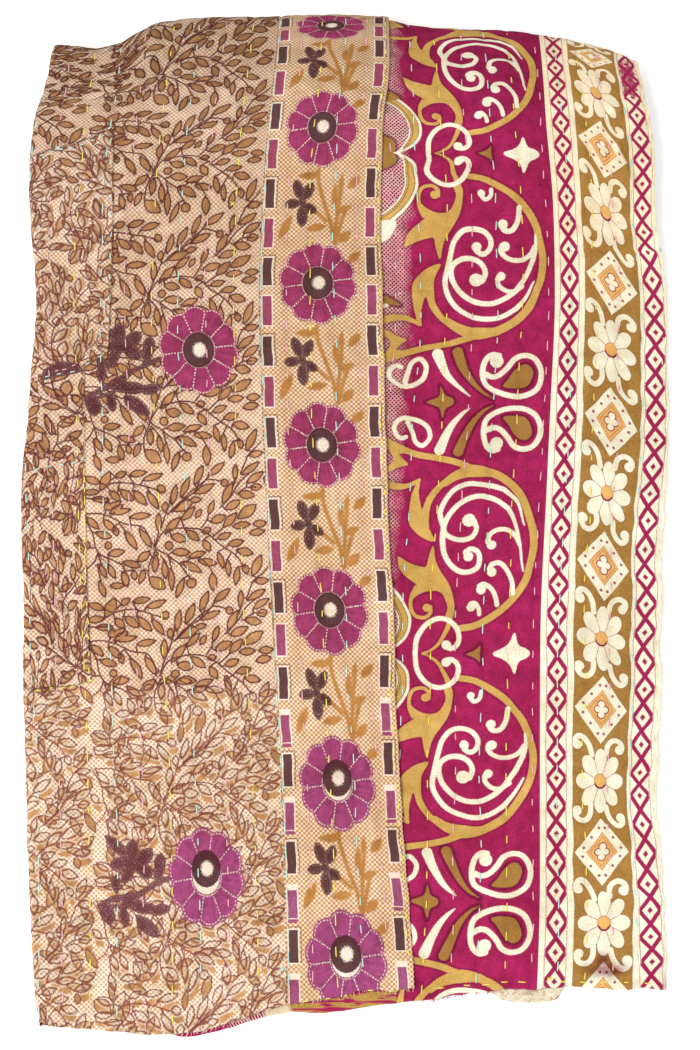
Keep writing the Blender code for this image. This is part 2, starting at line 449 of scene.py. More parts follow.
def smooth_line(points, pieces=4):
    """A rounder line through the points."""
    knots = np.array(points, float)
    before = np.vstack([knots[:1], knots[:-1]])
    after = np.vstack([knots[1:], knots[-1:]])
    slopes = (after - before) / 2
    slopes[0], slopes[-1] = slopes[0] * 2, slopes[-1] * 2
    line = []
    for index in range(len(knots) - 1):
        for step in range(pieces):
            t = step / pieces
            line.append((2 * t ** 3 - 3 * t ** 2 + 1) * knots[index]
                        + (t ** 3 - 2 * t ** 2 + t) * slopes[index]
                        + (3 * t ** 2 - 2 * t ** 3) * knots[index + 1]
                        + (t ** 3 - t ** 2) * slopes[index + 1])
    return np.array(line + [knots[-1]])


def smooth_shape(points, pieces=3):
    """A rounder closed outline through the points."""
    ring = [points[-1], *points, points[0], points[1]]
    return smooth_line(ring, pieces)[pieces:-pieces - 1]


def as_is(x, y):
    """The repeat of a drawing that doesn't repeat."""
    return x, y


def line_distance(x, y, line, start_width=0.0, end_width=None, repeat=as_is):
    """Distance to a drawn line's edge, and to the line's middle with the sign of its side."""
    end_width = start_width if end_width is None else end_width
    edge, middle, signed = np.full(x.shape, FAR), np.full(x.shape, FAR), np.full(x.shape, FAR)
    pieces = len(line) - 1
    for index in range(pieces):
        (ax, ay), (bx, by) = line[index], line[index + 1]
        px, py = repeat(x - ax, y - ay)
        dx, dy = bx - ax, by - ay
        t = np.clip((px * dx + py * dy) / (dx * dx + dy * dy), 0, 1)
        away = np.hypot(px - t * dx, py - t * dy)
        width = start_width + (end_width - start_width) * (index + t) / pieces
        edge = np.minimum(edge, away - width / 2)
        nearer = away < middle
        middle = np.where(nearer, away, middle)
        side = np.where(px * dy - py * dx >= 0, 1.0, -1.0)
        signed = np.where(nearer, away * side, signed)
    return edge, signed


def shape_distance(x, y, corners):
    """Signed distance to a closed outline, negative inside."""
    ring = np.vstack([corners, corners[:1]])
    away, _ = line_distance(x, y, ring)
    inside = np.zeros(x.shape, bool)
    for (ax, ay), (bx, by) in zip(ring[:-1], ring[1:]):
        if ay == by:
            continue
        crosses = (ay > y) != (by > y)
        inside ^= crosses & (x < (bx - ax) * (y - ay) / (by - ay) + ax)
    return np.where(inside, -away, away)


def leaf_distance(x, y, leaves, repeat=as_is, blunt=1.75):
    """Signed distance to the nearest leaf: pointed at both ends, widest in the middle."""
    nearest = np.full(x.shape, FAR)
    for leaf_x, leaf_y, length, width, angle in leaves:
        along, across = turned(*repeat(x - leaf_x, y - leaf_y), angle)
        across = np.abs(across)
        half_length, half_width = length * 0.54, width * 0.48
        t = along / half_length
        bulge = half_width * (1 - np.abs(t) ** blunt)
        slope = blunt * half_width * np.abs(t) ** (blunt - 1) / half_length
        away = (across - bulge) / np.sqrt(1 + slope * slope)
        beyond = np.hypot(np.maximum(np.abs(along) - half_length, 0), across)
        away = np.where(np.abs(t) > 1, beyond, away)
        nearest = np.minimum(nearest, away)
    return nearest


def ball_distance(x, y, balls, repeat=as_is):
    nearest = np.full(x.shape, FAR)
    for ball_x, ball_y, radius in balls:
        away = np.hypot(*repeat(x - ball_x, y - ball_y))
        nearest = np.minimum(nearest, away - radius)
    return nearest


# Where the prints sit: distances along the cloth, and the print's own lengths there.

def placed(along, places, lengths):
    """The print's own length for each distance along the cloth."""
    places, lengths = np.array(places, float), np.array(lengths, float)
    inside = np.interp(along, places, lengths)
    inside = np.where(along < places[0], lengths[0] + along - places[0], inside)
    return np.where(along > places[-1], lengths[-1] + along - places[-1], inside)


SLIP_START = -195.0        # nearer than this, the fillings have slipped from their outlines
SLIP_REACH = 30.0
LEAF_SLIP, FLOWER_SLIP = 9.0, 6.0
STALK_REACH = 11.0         # a leaf nearer to a stem than this has a stalk
TWIN_SHIFT = (71.0, 33.0)  # where leaves are printed over leaves
TWIN_START = -190.0        # they are on the patches, and everywhere nearer than this
CORNER_U, CORNER_ALONG = -140.0, 462.0
LEAF_PITCH = 143.0         # one repeat of the leaves
LEAF_TILE = 203.0
LEAF_PLACES = (-475, -331, -191, -48, 96, 245, 386, 500)
FLOWER_PITCH = 189.6
FLOWER_PLACES = (-498, -309, -118, 70, 260, 438, 480, 516, 545, 566, 590)
FLOWER_LENGTHS = (0, 190, 379, 569, 758, 948, 998, 1042, 1088, 1138, 1198)
FLOWER_BORDER = 133.0
SCROLL_PERIOD = 568.0
ASKEW_FROM, ASKEW_TO = 122, 405         # the print is pulled askew beside the farthest star
SCROLL_PLACES = (-435, -165, 122, 269, 325, 364.5, 410, 521, 558)
SCROLL_LENGTHS = (-284, 0, 284, 428, 481, 518, 568, 703, 769)
DAISY_PITCH = 156.0
DAISY_PLACES = (-459, -306, -149, 16, 183, 343, 418, 455, 484, 514, 533, 550)
DAISY_LENGTHS = (0, 156, 312, 468, 624, 780, 858, 901, 936, 971, 1014, 1070)
DAISY_BAND = 131.0
DAISY_MIDDLE = 67.0
SLANT_PLACES = (-382, -230, -66, 99, 266, 417, 484, 534)
SLANTS = (0.0, 0.1, 0.24, 0.34, 0.43, 0.57, 0.46, 0.55)
HEM_PULL_PLACES = (-540, -440, -290, -70, 60, 180, 250, 305, 335, 385)   # the hem's lattice strays
HEM_PULLS = (-1.5, 0.0, 3.6, 3.4, 0.0, -2.2, -0.5, 3.6, 3.0, 0.0)
# The lattices' diamonds: distances along the cloth, and how many diamonds lie before there.
LATTICE_PITCH = 30.0
LEFT_PLACES = (-521, -424, -302, -278, -216, -89, 39, 170, 302, 421, 460, 560)
LEFT_COUNTS = (0, 3, 7, 8, 10, 14, 18, 22, 26, 30, 31.5, 36)
RIGHT_PLACES = (-501, -419, -322, -298, -206, -80, 47, 172, 299, 323, 351, 461, 560)
RIGHT_COUNTS = (0, 3, 6, 7, 10, 14, 18, 22, 26, 27, 28, 32, 36.5)
# Where dye has run on the daisy band: (x, y, half width, half height).
STAINS = ((275, -507, 25, 9), (271, -497, 9, 9), (222, -535, 8, 8), (341, -524, 6, 12))
SMEAR = (113.0, 507.0, 11.0, 25.0)      # the lattice has run together at the far end

# The small leaves: (x, y, length, width, angle), x from the seam, in one repeat.
LEAVES = (
    (-135, 11, 23, 9, -60), (-119, 29, 21, 7.5, 87), (-104, 25, 25, 8.5, 48),
    (-92, 47, 25, 10, 22), (-87, 39, 20, 7.5, 43), (-76, 39, 11, 6.5, 55),
    (-62, 46, 18, 6.5, 70), (-54, 33, 19, 9.5, 24), (-41, 32, 21, 9, 48),
    (-22, 41, 25, 11.5, 32), (-29, 26, 18, 8.5, 8), (-9, 28, 15, 8.5, 10),
    (-12, 18, 17, 8.5, 15), (-98, 11, 17, 10.5, -10), (-83, 15, 19, 9, -38),
    (-96, -5, 20, 9.5, 0), (-78, -8, 20, 8, 18), (-67, -16, 20, 8.5, -5),
    (-85, -22, 23, 9.5, -30), (-67, 3, 15, 9, -62), (-67, 20, 10, 7.5, 20),
    (-47, 14, 16, 8, 22), (-35, 6, 17, 8.5, 14), (-25, -4, 18, 9.5, -14),
    (-52, -14, 20, 7, -76), (-44, -23, 21, 6.5, -87), (-35, -32, 21, 7, 79),
    (-25, -24, 11, 8, -78), (-13, -20, 25, 9.5, 66), (-9, -37, 15, 8.5, 10),
    (-138, -10, 18, 8.5, 42), (-125, -17, 19, 8, 88), (-114, -24, 20, 7.5, -84),
    (-107, -35, 25, 7, -88), (-98, -45, 23, 7, 70), (-63, -38, 21, 9.5, -87),
    (-123, -39, 21, 14.5, -35), (-140, -32, 17, 7.5, 68), (-149, -31, 11, 7, -80),
    (-158, -35, 18, 7.5, -76), (-151, -19, 20, 8, -16), (-167, -6, 18, 8.5, 11),
    (-182, -26, 17, 7, -64), (-172, -26, 17, 7.5, -64), (-184, -47, 19, 7.5, -73),
    (-167, -43, 16, 8, 3), (-180, 14, 20, 8.5, -18), (-166, 18, 12, 7, -76),
    (-173, 25, 20, 8.5, -46), (-192, 28, 18, 8, -46), (-159, 41, 21, 7.5, 16),
    (-139, 36, 22, 8, 9), (-151, 8, 25, 8, -62), (-168, 48, 19, 7.5, 32),
    (-200, 4, 13, 7.5, -45), (-159, -61, 13, 7.5, 32), (-141, -59, 19, 8, 14),
    (-125, -63, 23, 8, 21), (-176, -68, 23, 12, 60), (-191, -67, 19, 8.5, -20),
    (-192, 62, 18, 7.5, 5), (-182, 54, 18, 7.5, 0), (-166, 59, 15, 8.5, -42),
    (-153, 60, 18, 9.5, -34), (-139, 57, 21, 9, -50), (-125, 54, 22, 8.5, -58),
    (-102, 61, 23, 7.5, 76), (-89, 69, 25, 8, 65), (-73, -60, 23, 8, 64),
    (-53, -54, 23, 8, 35), (-68, 67, 24, 8, 26), (-33, -58, 18, 6, 82), (-16, -53, 23, 8, 33),
    (-11, -63, 21, 8.5, 33), (-10, 69, 12, 9, 10), (-21, 60, 18, 10.5, -10),
    (-37, 49, 20, 9.5, 26), (-43, 62, 24, 9, 62), (-112, 47, 11, 7.5, 80),
    (-78, 54, 12, 7, 15), (-165, 44, 18, 7.5, 37), (-175, 47, 10, 7, 60))
BERRIES = ((-109, 2, 4.5), (-175, 2, 4), (-116, -76, 4.5), (-46, -70, 4), (-86, -40, 5))
LEAF_STEMS = (
    ((-125, 0), (-111, -8), (-98, -18), (-84, -12), (-75, -11), (-67, -20), (-63, -28)),
    ((-125, 0), (-117, 15), (-107, 20), (-92, 23), (-76, 22), (-63, 15), (-53, 5), (-40, -4),
     (-32, -12), (-27, -20)),
    ((-125, 0), (-121, 13), (-113, 31), (-108, 47), (-106, 58)),
    ((-108, 38), (-95, 50), (-82, 64), (-71, 73), (-63, 78), (-50, 75)),
    ((-125, 0), (-135, 21), (-143, 25), (-157, 27), (-172, 35), (-185, 39), (-199, 38)),
    ((-162, 28), (-157, 20)),
    ((-202, 35), (-193, 18), (-191, 6), (-187, -6), (-176, -12), (-162, -18), (-158, -26)),
    ((-187, -6), (-191, -16), (-200, -24)), ((-187, -8), (-183, -20)), ((-188, -20), (-185, -37)),
    ((-98, -18), (-92, -28), (-87, -35)), ((-125, -2), (-132, -18), (-132, -33)),
    ((-132, -25), (-140, -26)), ((-125, -2), (-117, -11), (-114, -17)), ((-111, -8), (-107, -22)),
    ((-174, -73), (-160, -70), (-145, -71), (-132, -74), (-118, -78)),
    ((-169, -68), (-164, -64)), ((-145, -71), (-150, -63), (-148, -61)),
    ((-160, -70), (-163, -81)), ((-145, -72), (-147, -78)), ((-132, -74), (-128, -80)),
    ((-199, -88), (-191, -89), (-174, -87)),
    ((-52, -97), (-46, -92), (-36, -80), (-29, -68), (-17, -58)), ((-36, -72), (-33, -66)),
    ((-31, -81), (-21, -74), (-11, -74)), ((-27, -58), (-19, -39), (-8, -29), (-2, -22)),
    ((-78, -80), (-73, -68)), ((-90, -88), (-99, -94), (-108, -105)),
    ((-62, -61), (-68, -68), (-78, -80), (-99, -94)), ((-49, 23), (-59, 14)),
    ((-67, 31), (-73, 23)))
# The big flowers on the leaf cloth, and the plum leaves at their left.
FLOWER_STEP = 578.5
BIG_FLOWERS = (            # middle, how much lower and narrower, and the tuck across its leaves
    (-83, 74.5, 10.0, 1.06, 15.0), (-68.5, 653.0, 0.0, 0.94, 0.0), (-83, 1231.5, 0.0, 1.0, 0.0),
    (-67, 1810.0, 0.0, 1.0, 0.0))
PLUM_LEAVES = (
    (-101, 23, 33, 10.5, -42), (-84, 18, 23, 14.5, 85), (-69, 12, 23, 14.5, 41),
    (-97, 5, 20, 14, 5), (-70, -2.5, 22, 14.5, -36), (-90, -10, 22, 10.5, 64),
    (-83, 5, 19, 16, 0),
    (-52.6, 1, 29, 12, 83), (-103, -23, 29, 9, 87), (-75, -42, 36, 12.5, -2),
    (-52, -44, 20, 11, 14), (-93, -58, 21, 11, -80), (-112, -63, 22, 15, -76),
    (-67, -62, 31, 14.5, -38), (-86, -36, 23, 10, 32), (24, -36, 18, 13, 30))
PLUM_SCRAP = (-317, 148.5, 24, 17, 16)  # a darn: its middle, half sizes and turn
PLUM_STEMS = (
    (6.0, ((-120, -55), (-101, -43), (-83, -32), (-63, -20), (-40, -10))),
    (4.0, ((-117, -58), (-98, -50), (-80, -43))))
# The flower border, from the flap's hem and a flower's middle.
FLOWER_X = -70.0
SPRAY_LEAVES = (
    (-82, 130, 23, 9, 0), (-45, 121, 22, 6, 85), (-31, 122, 19, 10, 50), (-52, 108, 23, 7, 85),
    (-41, 90, 18, 9, 25), (-72, 68, 21, 10, 10), (-106, 68, 31, 10, 65), (-40, 57, 18, 11, 50),
    (-30, 32, 18, 10, 45))
SPRAY_STEMS = (
    ((-51, 48), (-55, 71), (-60, 87), (-67, 109), (-71, 125), (-71, 138)),
    ((-51, 48), (-50, 71), (-48, 87), (-51, 106)), ((-50, 49), (-45, 71), (-40, 87)),
    ((-82, 95), (-71, 86), (-61, 76)), ((-71, 136), (-77, 132)), ((-48, 87), (-45, 114)))
POSY_PETALS = (
    (-93, 113.5, 24.5, 12.5, 108), (-81.7, 111.8, 22, 12, 66), (-99, 96.5, 17, 12.5, 187),
    (-87.7, 81.4, 25.5, 12.8, -88), (-79, 91, 17, 11.5, -38), (-88.5, 98, 9, 9, 0))

# The scroll print: (from the border line, from the mirror line), in half a repeat.
# Lines are (width at the start, width at the end, points), and balls are (x, y, radius).
CREAM_LINES = (
    (5.0, 5.0, ((-136.5, 0), (-134.5, 18), (-125.5, 32), (-113, 39), (-101.5, 37.5), (-92, 29),
                (-89, 18), (-91, 10.5), (-96, 6.4), (-101, 6.6))),
    (5.5, 5.5, ((-56, 230), (-63, 229), (-70, 235), (-73, 249), (-71, 263), (-62, 271),
                (-46, 276.5), (-30, 276.5), (-16, 269), (-10, 256), (-11, 244), (-18, 233),
                (-29, 230), (-39, 234), (-46, 244), (-55, 253), (-63, 255), (-69, 252))),
    (4.5, 4.5, ((-159, 244), (-164, 242), (-170, 246), (-173, 255), (-168, 263), (-160, 266),
                (-147, 263), (-136, 256), (-132, 245), (-136, 237), (-141, 234), (-148, 239),
                (-152, 250), (-158, 261))),
    (11.5, 1.0, ((-121, 229), (-115, 244), (-107, 259), (-97, 271), (-90, 277))))
CREAM_BALLS = ((-102.5, 9.8, 5.0), (-58, 237, 7))
# The curls inside the rings, on the near side of each mirror line and on its far side.
NEAR_CURLS = (
    (4.0, 4.0, ((-64, 44), (-65, 52), (-71, 56), (-76, 51))),
    (5.0, 5.0, ((-35, 64), (-37, 78), (-43, 88), (-51, 89), (-55, 83))),
    (4.6, 4.6, ((-17, 106), (-22, 114), (-31, 119.5), (-42, 120.5), (-51, 117), (-56, 111),
                (-55, 105))),
    (2.0, 5.5, ((-16, 93), (-15, 107), (-19, 120))),
    (5.2, 5.2, ((-19, 120), (-26, 134), (-34, 146), (-43, 158), (-56, 167), (-68, 171),
                (-83, 169), (-97, 160), (-107, 146), (-109, 130), (-101, 121), (-89, 119),
                (-78, 124), (-73, 134), (-76, 144))),
    (2.0, 5.0, ((-18, 144), (-28, 162), (-39, 176))),
    (5.0, 5.0, ((-39, 176), (-53, 185), (-68, 189), (-85, 186), (-100, 178), (-112, 163),
                (-116, 148), (-113, 130), (-110, 115), (-106, 101), (-97, 90), (-86, 87),
                (-74, 90), (-67, 99), (-68, 109), (-75, 114.5), (-82, 111))),
    (4.6, 4.6, ((-33, 150), (-43, 156), (-52, 154.5), (-59, 148), (-60, 141))))
NEAR_BALLS = ((-75, 49, 4), (-53, 82, 5), (-51.5, 106, 5), (-83, 143, 7), (-82, 106, 5),
              (-56, 138.5, 4.6))
FAR_CURLS = (
    (2.0, 5.0, ((-19, 144), (-31, 170), (-47, 184))),
    (5.0, 5.0, ((-47, 184), (-66, 189), (-88, 190), (-104, 182), (-113, 168), (-116, 156),
                (-112, 142), (-109.5, 134), (-102, 129), (-91, 127), (-80, 130), (-75, 139),
                (-78, 148))),
    (2.0, 5.2, ((-18.5, 92), (-23, 120), (-31, 146), (-41, 162))),
    (5.2, 5.2, ((-41, 162), (-57.5, 173), (-76, 176), (-94, 169), (-105.5, 156), (-111, 142),
                (-112, 128), (-109.5, 114), (-102, 100), (-92, 92.5), (-82, 91), (-72, 96),
                (-70, 106), (-73, 114), (-80, 117), (-86, 113))),
    (4.6, 4.6, ((-24, 122), (-30, 131), (-39, 138), (-51, 139), (-59.5, 134), (-62, 125))),
    (4.8, 4.8, ((-32, 67), (-33, 82), (-39, 94), (-47, 101), (-55.5, 100), (-58.5, 95))),
    (4.6, 4.6, ((-48.5, 54), (-50.5, 64), (-55.5, 73), (-63.5, 77.5), (-68.5, 75))),
    (4.2, 4.2, ((-67.5, 44), (-68.5, 51), (-73, 56.5), (-77.5, 56))))
FAR_BALLS = ((-84, 149, 7), (-82.5, 108, 5), (-57.5, 121.5, 5), (-55.5, 91, 5), (-66.5, 71, 5),
             (-77, 52, 4.5))
CREAM_SHAPES = (
    ((-52, 0), (-42, 5.6), (-35.5, 10), (-31.5, 15.5), (-29, 22.5), (-27, 22), (-25, 13),
     (-22, 8.4), (-17, 6.4), (-12.5, 3), (-11.5, 0), (-13.5, -8), (-36, -8)),)
NEAR_DROPS = (
    ((-188, 82), (-168, 79), (-172, 92), (-184, 102)),
    ((-188, 172), (-176, 172.5), (-180, 176.5), (-188, 178)))
OLIVE_LINES = ((11.0, 1.0, ((-100, 227), (-93, 245), (-85, 261), (-75, 273), (-64, 280))),)
OLIVE_SHAPES = (
    ((-52, 266), (-46, 259), (-39, 248), (-31, 241), (-24, 241), (-19, 248), (-21, 258),
     (-27, 266), (-37, 268), (-46, 268)),
    ((-139, 284), (-129, 280), (-123, 276), (-120, 265), (-117, 276), (-110, 280),
     (-108, 284), (-108, 289), (-139, 289)),
    ((-81, 0), (-74.5, 2.6), (-68.5, 6.2), (-65.6, 10.4), (-65, 9.4), (-65.6, 0), (-65, -9.4),
     (-65.6, -10.4), (-68.5, -6.2), (-74.5, -2.6)),
    ((-192, -4), (-178, -2), (-173, 8), (-176, 18), (-192, 22)))
NEAR_BARBS = (((-188, 161), (-174, 165), (-163, 172.5), (-172, 172), (-188, 171)),)
FAR_BARBS = (((-182, 88), (-176, 86), (-164, 76), (-178, 73)),)
OCHRE_LINES = (
    (1.5, 6.5, ((-132, -1), (-121, 3), (-111, 11), (-104, 23), (-100, 33), (-99, 41))),
    (4.0, 4.0, ((-138, 74), (-142, 64), (-142, 51), (-137, 42), (-127, 40), (-121, 45),
                (-121, 52))),
    (7.0, 9.0, ((-88, 28), (-73, 31), (-61, 37), (-43, 49), (-29, 64), (-16, 84), (-9, 105),
                (-7, 123), (-10, 143), (-18, 161), (-29, 179), (-43, 193), (-61, 203))),
    (9.0, 14.0, ((-61, 203), (-70, 204.5), (-81, 205))),
    (14.0, 8.0, ((-81, 205), (-92, 203), (-103, 198.5), (-113, 191))),
    (7.0, 7.0, ((-84, 208), (-102, 215), (-122, 219.5), (-141, 223), (-157, 228), (-172, 234),
                (-184, 241))),
    (9.5, 3.5, ((-188, 193), (-172.4, 187.8), (-160, 186.7), (-150.7, 189.2), (-141.3, 195))))
OCHRE_BALLS = ((-125, 51, 4.5),)
OCHRE_SHAPES = (
    ((-104, 41), (-95, 42), (-96, 61), (-100, 74), (-106, 84), (-113, 94), (-118, 105),
     (-120.5, 119), (-122.5, 119), (-126, 106), (-127.5, 97), (-134, 97.5), (-146, 101),
     (-159, 107.5), (-159.5, 105), (-157, 95), (-151, 87), (-142, 80), (-136, 75),
     (-142, 66), (-143, 59), (-134, 66), (-124, 70), (-112, 69), (-105, 61), (-102, 51)),
    ((-120, 125), (-134, 129), (-144, 137), (-150, 146), (-151, 158), (-149, 176),
     (-143, 193), (-140, 195), (-141, 181), (-139, 169), (-136, 161), (-132, 174),
     (-124, 186), (-112, 197), (-97, 204), (-95, 198), (-107, 193), (-118, 183),
     (-126, 169), (-128, 153), (-127, 140)),
    ((-188, 201), (-177, 202), (-171, 205.5), (-162, 209.5), (-154.5, 212), (-162, 218.5),
     (-165.5, 224), (-158, 225), (-160, 231), (-174, 237), (-180, 234), (-176, 227.5),
     (-172.4, 221), (-171.7, 216), (-174.8, 211.3), (-182, 208), (-188, 207.5)))
MEDALLION = ((-208, -1), (-172, 0), (-159, 5), (-149, 13), (-143, 24), (-142, 41),
             (-148, 55), (-156, 66), (-169, 78), (-182, 87), (-198, 92), (-208, 93))
MEDALLION_NET = ((-208, -1), (-174, 1), (-164, 11), (-158, 22), (-156, 34), (-159, 46),
                 (-166, 58), (-177, 68), (-191, 75), (-208, 79))
# The curls beside each daisy, from its middle.
DAISY_CURLS = (
    ((-9.8, 26.9), (-12.6, 37.6), (-18.2, 46), (-24.5, 48), (-28.5, 43), (-26, 38.5)),
    ((6.3, 29.5), (8.6, 40.5), (16.4, 45.5), (23.6, 42.5), (25, 37), (21.8, 34.8)),
    ((-10.5, -24.8), (-11.2, -35.5), (-16.4, -42.5), (-23.6, -42.2), (-27.8, -36.5),
     (-25.6, -32.2)),
    ((7, -28.2), (9.8, -39), (15.4, -47), (21, -49), (25.5, -44.4), (23.5, -40)))
CURL_HEAD = 5.3
CURL_WIDTH = 6.0


def slipped(along, most):
    """How far a filling has slipped from its outlines."""
    return most * ease((SLIP_START - along) / SLIP_REACH)


def leaf_repeat(x, y):
    """Brings a place near the same leaf of the half-dropped repeat."""
    tiles = np.round(x / LEAF_TILE)
    return x - tiles * LEAF_TILE, wrap(y - tiles * LEAF_PITCH / 2, LEAF_PITCH)


def leaf_stalks():
    """Short stalks from the leaves' near ends to the stems."""
    points = np.concatenate([smooth_line(stem, 2) for stem in LEAF_STEMS])
    stalks = []
    for leaf_x, leaf_y, length, _, angle in LEAVES:
        turn = math.radians(angle)
        ends = []
        for end in (-0.5, 0.5):
            x = leaf_x + end * length * math.cos(turn)
            y = leaf_y + end * length * math.sin(turn)
            dx, dy = leaf_repeat(x - points[:, 0], y - points[:, 1])
            nearest = np.argmin(np.hypot(dx, dy))
            dx, dy = dx[nearest], dy[nearest]
            ends.append((math.hypot(dx, dy), ((x, y), (x - dx, y - dy))))
        away, stalk = min(ends, key=lambda end: end[0])
        if 0.8 < away < STALK_REACH:
            stalks.append(stalk)
    return stalks


def nearest_flower(u, v):
    """Where a place lies from its big flower's middle, how much lower that is, and its tuck."""
    x, y = np.full(u.shape, FAR * 9), np.full(u.shape, FAR * 9)
    drop, tuck = np.zeros(u.shape), np.zeros(u.shape)
    for middle_x, middle_y, lower, narrow, folded in BIG_FLOWERS:
        dy = v - middle_y
        closer = np.abs(dy) < np.abs(y)
        x, y = np.where(closer, (u - middle_x) * narrow, x), np.where(closer, dy, y)
        drop, tuck = np.where(closer, lower, drop), np.where(closer, folded, tuck)
    return x, y, drop, tuck


def plum_print(x, y, flower_x, flower_y, tuck, patch):
    """Distance to the plum leaves beside the big flowers, and to the darn."""
    plum_y = flower_y - tuck * ease((-70 - flower_x) / 45) * ease((-6 - flower_y) / 14)
    plum_x = flower_x + 1.5 * soft_noise(flower_x / 9, plum_y / 9, 7)
    plum = leaf_distance(plum_x, plum_y, PLUM_LEAVES, blunt=2.8) - 0.7
    for width, stem in PLUM_STEMS:
        plum = np.minimum(plum, line_distance(plum_x, plum_y, smooth_line(stem), width)[0])
    plum = np.where(patch < 0, FAR, plum)
    scrap_x, scrap_y, half_width, half_height, turn = PLUM_SCRAP
    across, above = turned(x - scrap_x, y - scrap_y, turn)
    scrap = (np.hypot(across / half_width, above / half_height) - 1) * half_height
    return np.minimum(plum, np.maximum(scrap, -above))


def leaf_print(u, along, x, y):
    """Distances for the leaf cloth's print."""
    v = placed(along, LEAF_PLACES, [LEAF_PITCH * index for index in range(len(LEAF_PLACES))])
    print_slip = slip = slipped(along, LEAF_SLIP)
    place_u = u + 1.2 * soft_noise(u / 21, v / 21, 3)
    place_v = v + 1.2 * soft_noise(u / 21, v / 21, 4)
    # Gathered tight over the far left corner.
    corner = ease((CORNER_U - u) / 60) * np.maximum(along - CORNER_ALONG, 0)
    place_v = place_v + 1.2 * corner
    scale = 1 - 0.4 * ease(corner / 20)
    for patch, (squeeze, stretch, shift_u, shift_v, patch_slip) in PATCH_PRINTS.items():
        on_patch = patch_distance(x, y, (patch,)) < 0
        sway = 7 * soft_noise(v / 34, u / 40, 6)
        place_u, place_v = (np.where(on_patch, v * stretch + shift_u, place_u),
                            np.where(on_patch, -(u + sway) * squeeze + shift_v, place_v))
        slip = np.where(on_patch, patch_slip, slip)
        scale = np.where(on_patch, 1 / math.sqrt(squeeze * stretch), scale)

    def stems(lines):
        signed, near = np.full(u.shape, FAR), np.full(u.shape, FAR)
        for line in lines:
            _, one = line_distance(place_u, place_v, line, repeat=leaf_repeat)
            closer = np.abs(one) < near
            near, signed = np.where(closer, np.abs(one), near), np.where(closer, one, signed)
        return signed

    curves = [smooth_line(stem, 2) for stem in LEAF_STEMS]
    berries = ball_distance(place_u, place_v, BERRIES, leaf_repeat)
    moved_u, moved_v = place_u - 0.25 * slip, place_v + slip
    fill = np.minimum(leaf_distance(moved_u, moved_v, LEAVES, leaf_repeat),
                      ball_distance(moved_u, moved_v, BERRIES, leaf_repeat))
    patch = patch_distance(x, y)
    twins = np.full(u.shape, FAR)
    crowded = (patch < 2) | (along < TWIN_START)
    twins[crowded] = leaf_distance(place_u[crowded] + TWIN_SHIFT[0],
                                   place_v[crowded] + TWIN_SHIFT[1], LEAVES[::2], leaf_repeat)
    flower_x, flower_y, drop, tuck = nearest_flower(u, v)
    plum = plum_print(x, y, flower_x, flower_y + drop - print_slip, tuck, patch)
    return {"v": v,
            "leaf_odd": scale * np.minimum(
                leaf_distance(place_u, place_v, LEAVES[0::2], leaf_repeat), berries),
            "leaf_even": scale * leaf_distance(place_u, place_v, LEAVES[1::2], leaf_repeat),
            "leaf_twin": scale * twins, "fill": scale * np.minimum(fill, twins),
            "stem_odd": stems(curves[0::2]), "stem_even": stems(curves[1::2]),
            "stalk": stems(leaf_stalks()), "plum": plum, "slip": slip,
            "patch": patch, "flower": (flower_x, drop)}


def flower_print(u, along, x, y):
    """Distances for the flower border's print."""
    v = placed(along, FLOWER_PLACES, FLOWER_LENGTHS)

    def repeat(x, y):
        return x, wrap(y, FLOWER_PITCH)

    spray = leaf_distance(u, v, SPRAY_LEAVES, repeat)
    for stem in SPRAY_STEMS:
        spray = np.minimum(spray, line_distance(u, v, smooth_line(stem, 2), 4.0,
                                                repeat=repeat)[0])
    return {"v": v, "spray": spray, "plum": leaf_distance(u, v, POSY_PETALS, repeat, 2.7),
            "slip": slipped(along, FLOWER_SLIP)}


def drawn(x, y, lines=(), balls=(), shapes=()):
    """Signed distance to everything that is drawn in one colour."""
    nearest = ball_distance(x, y, balls)
    for start_width, end_width, points in lines:
        edge, _ = line_distance(x, y, smooth_line(points), start_width, end_width)
        nearest = np.minimum(nearest, edge)
    for corners in shapes:
        nearest = np.minimum(nearest, shape_distance(x, y, smooth_shape(corners)))
    return nearest


def scroll_print(u, along, x, y):
    """Distances for the magenta scroll print."""
    v = placed(along, SCROLL_PLACES, SCROLL_LENGTHS)
    side = wrap(v + 0.5 * soft_noise(u / 18, v / 18, 6), SCROLL_PERIOD)
    y = np.abs(side)
    askew = ease((along - ASKEW_FROM) / 40) * ease((ASKEW_TO - along) / 20)
    # The far rings sit further in.
    ring = 4 * ease((along + 120) / 60) * ease((u + 45) / 30) * ease((62 - np.abs(y - 125)) / 40)
    x = u + ring + askew * (2.7 + 0.052 * np.maximum(-25 - u, 0))
    x = x + 0.5 * soft_noise(u / 18, v / 18, 5)
    curls = np.where(side < 0, drawn(x, y, NEAR_CURLS, NEAR_BALLS, NEAR_DROPS),
                     drawn(x, y, FAR_CURLS, FAR_BALLS))

    def lobe(points):
        outline = smooth_line(points)
        ring = np.vstack([outline, [(-330, points[-1][1]), (-330, -60), (-208, -60)]])
        away, _ = line_distance(x, y, outline)
        return np.where(shape_distance(x, y, ring) < 0, -away, away)

    cream = drawn(x, y, CREAM_LINES, CREAM_BALLS, CREAM_SHAPES)
    barbs = np.where(side < 0, drawn(x, y, shapes=NEAR_BARBS), drawn(x, y, shapes=FAR_BARBS))
    return {"v": v, "cream": np.minimum(cream, curls),
            "ochre": drawn(x, y, OCHRE_LINES, OCHRE_BALLS, OCHRE_SHAPES),
            "olive": np.minimum(drawn(x, y, OLIVE_LINES, shapes=OLIVE_SHAPES), barbs),
            "medallion": lobe(MEDALLION), "medallion_net": lobe(MEDALLION_NET)}


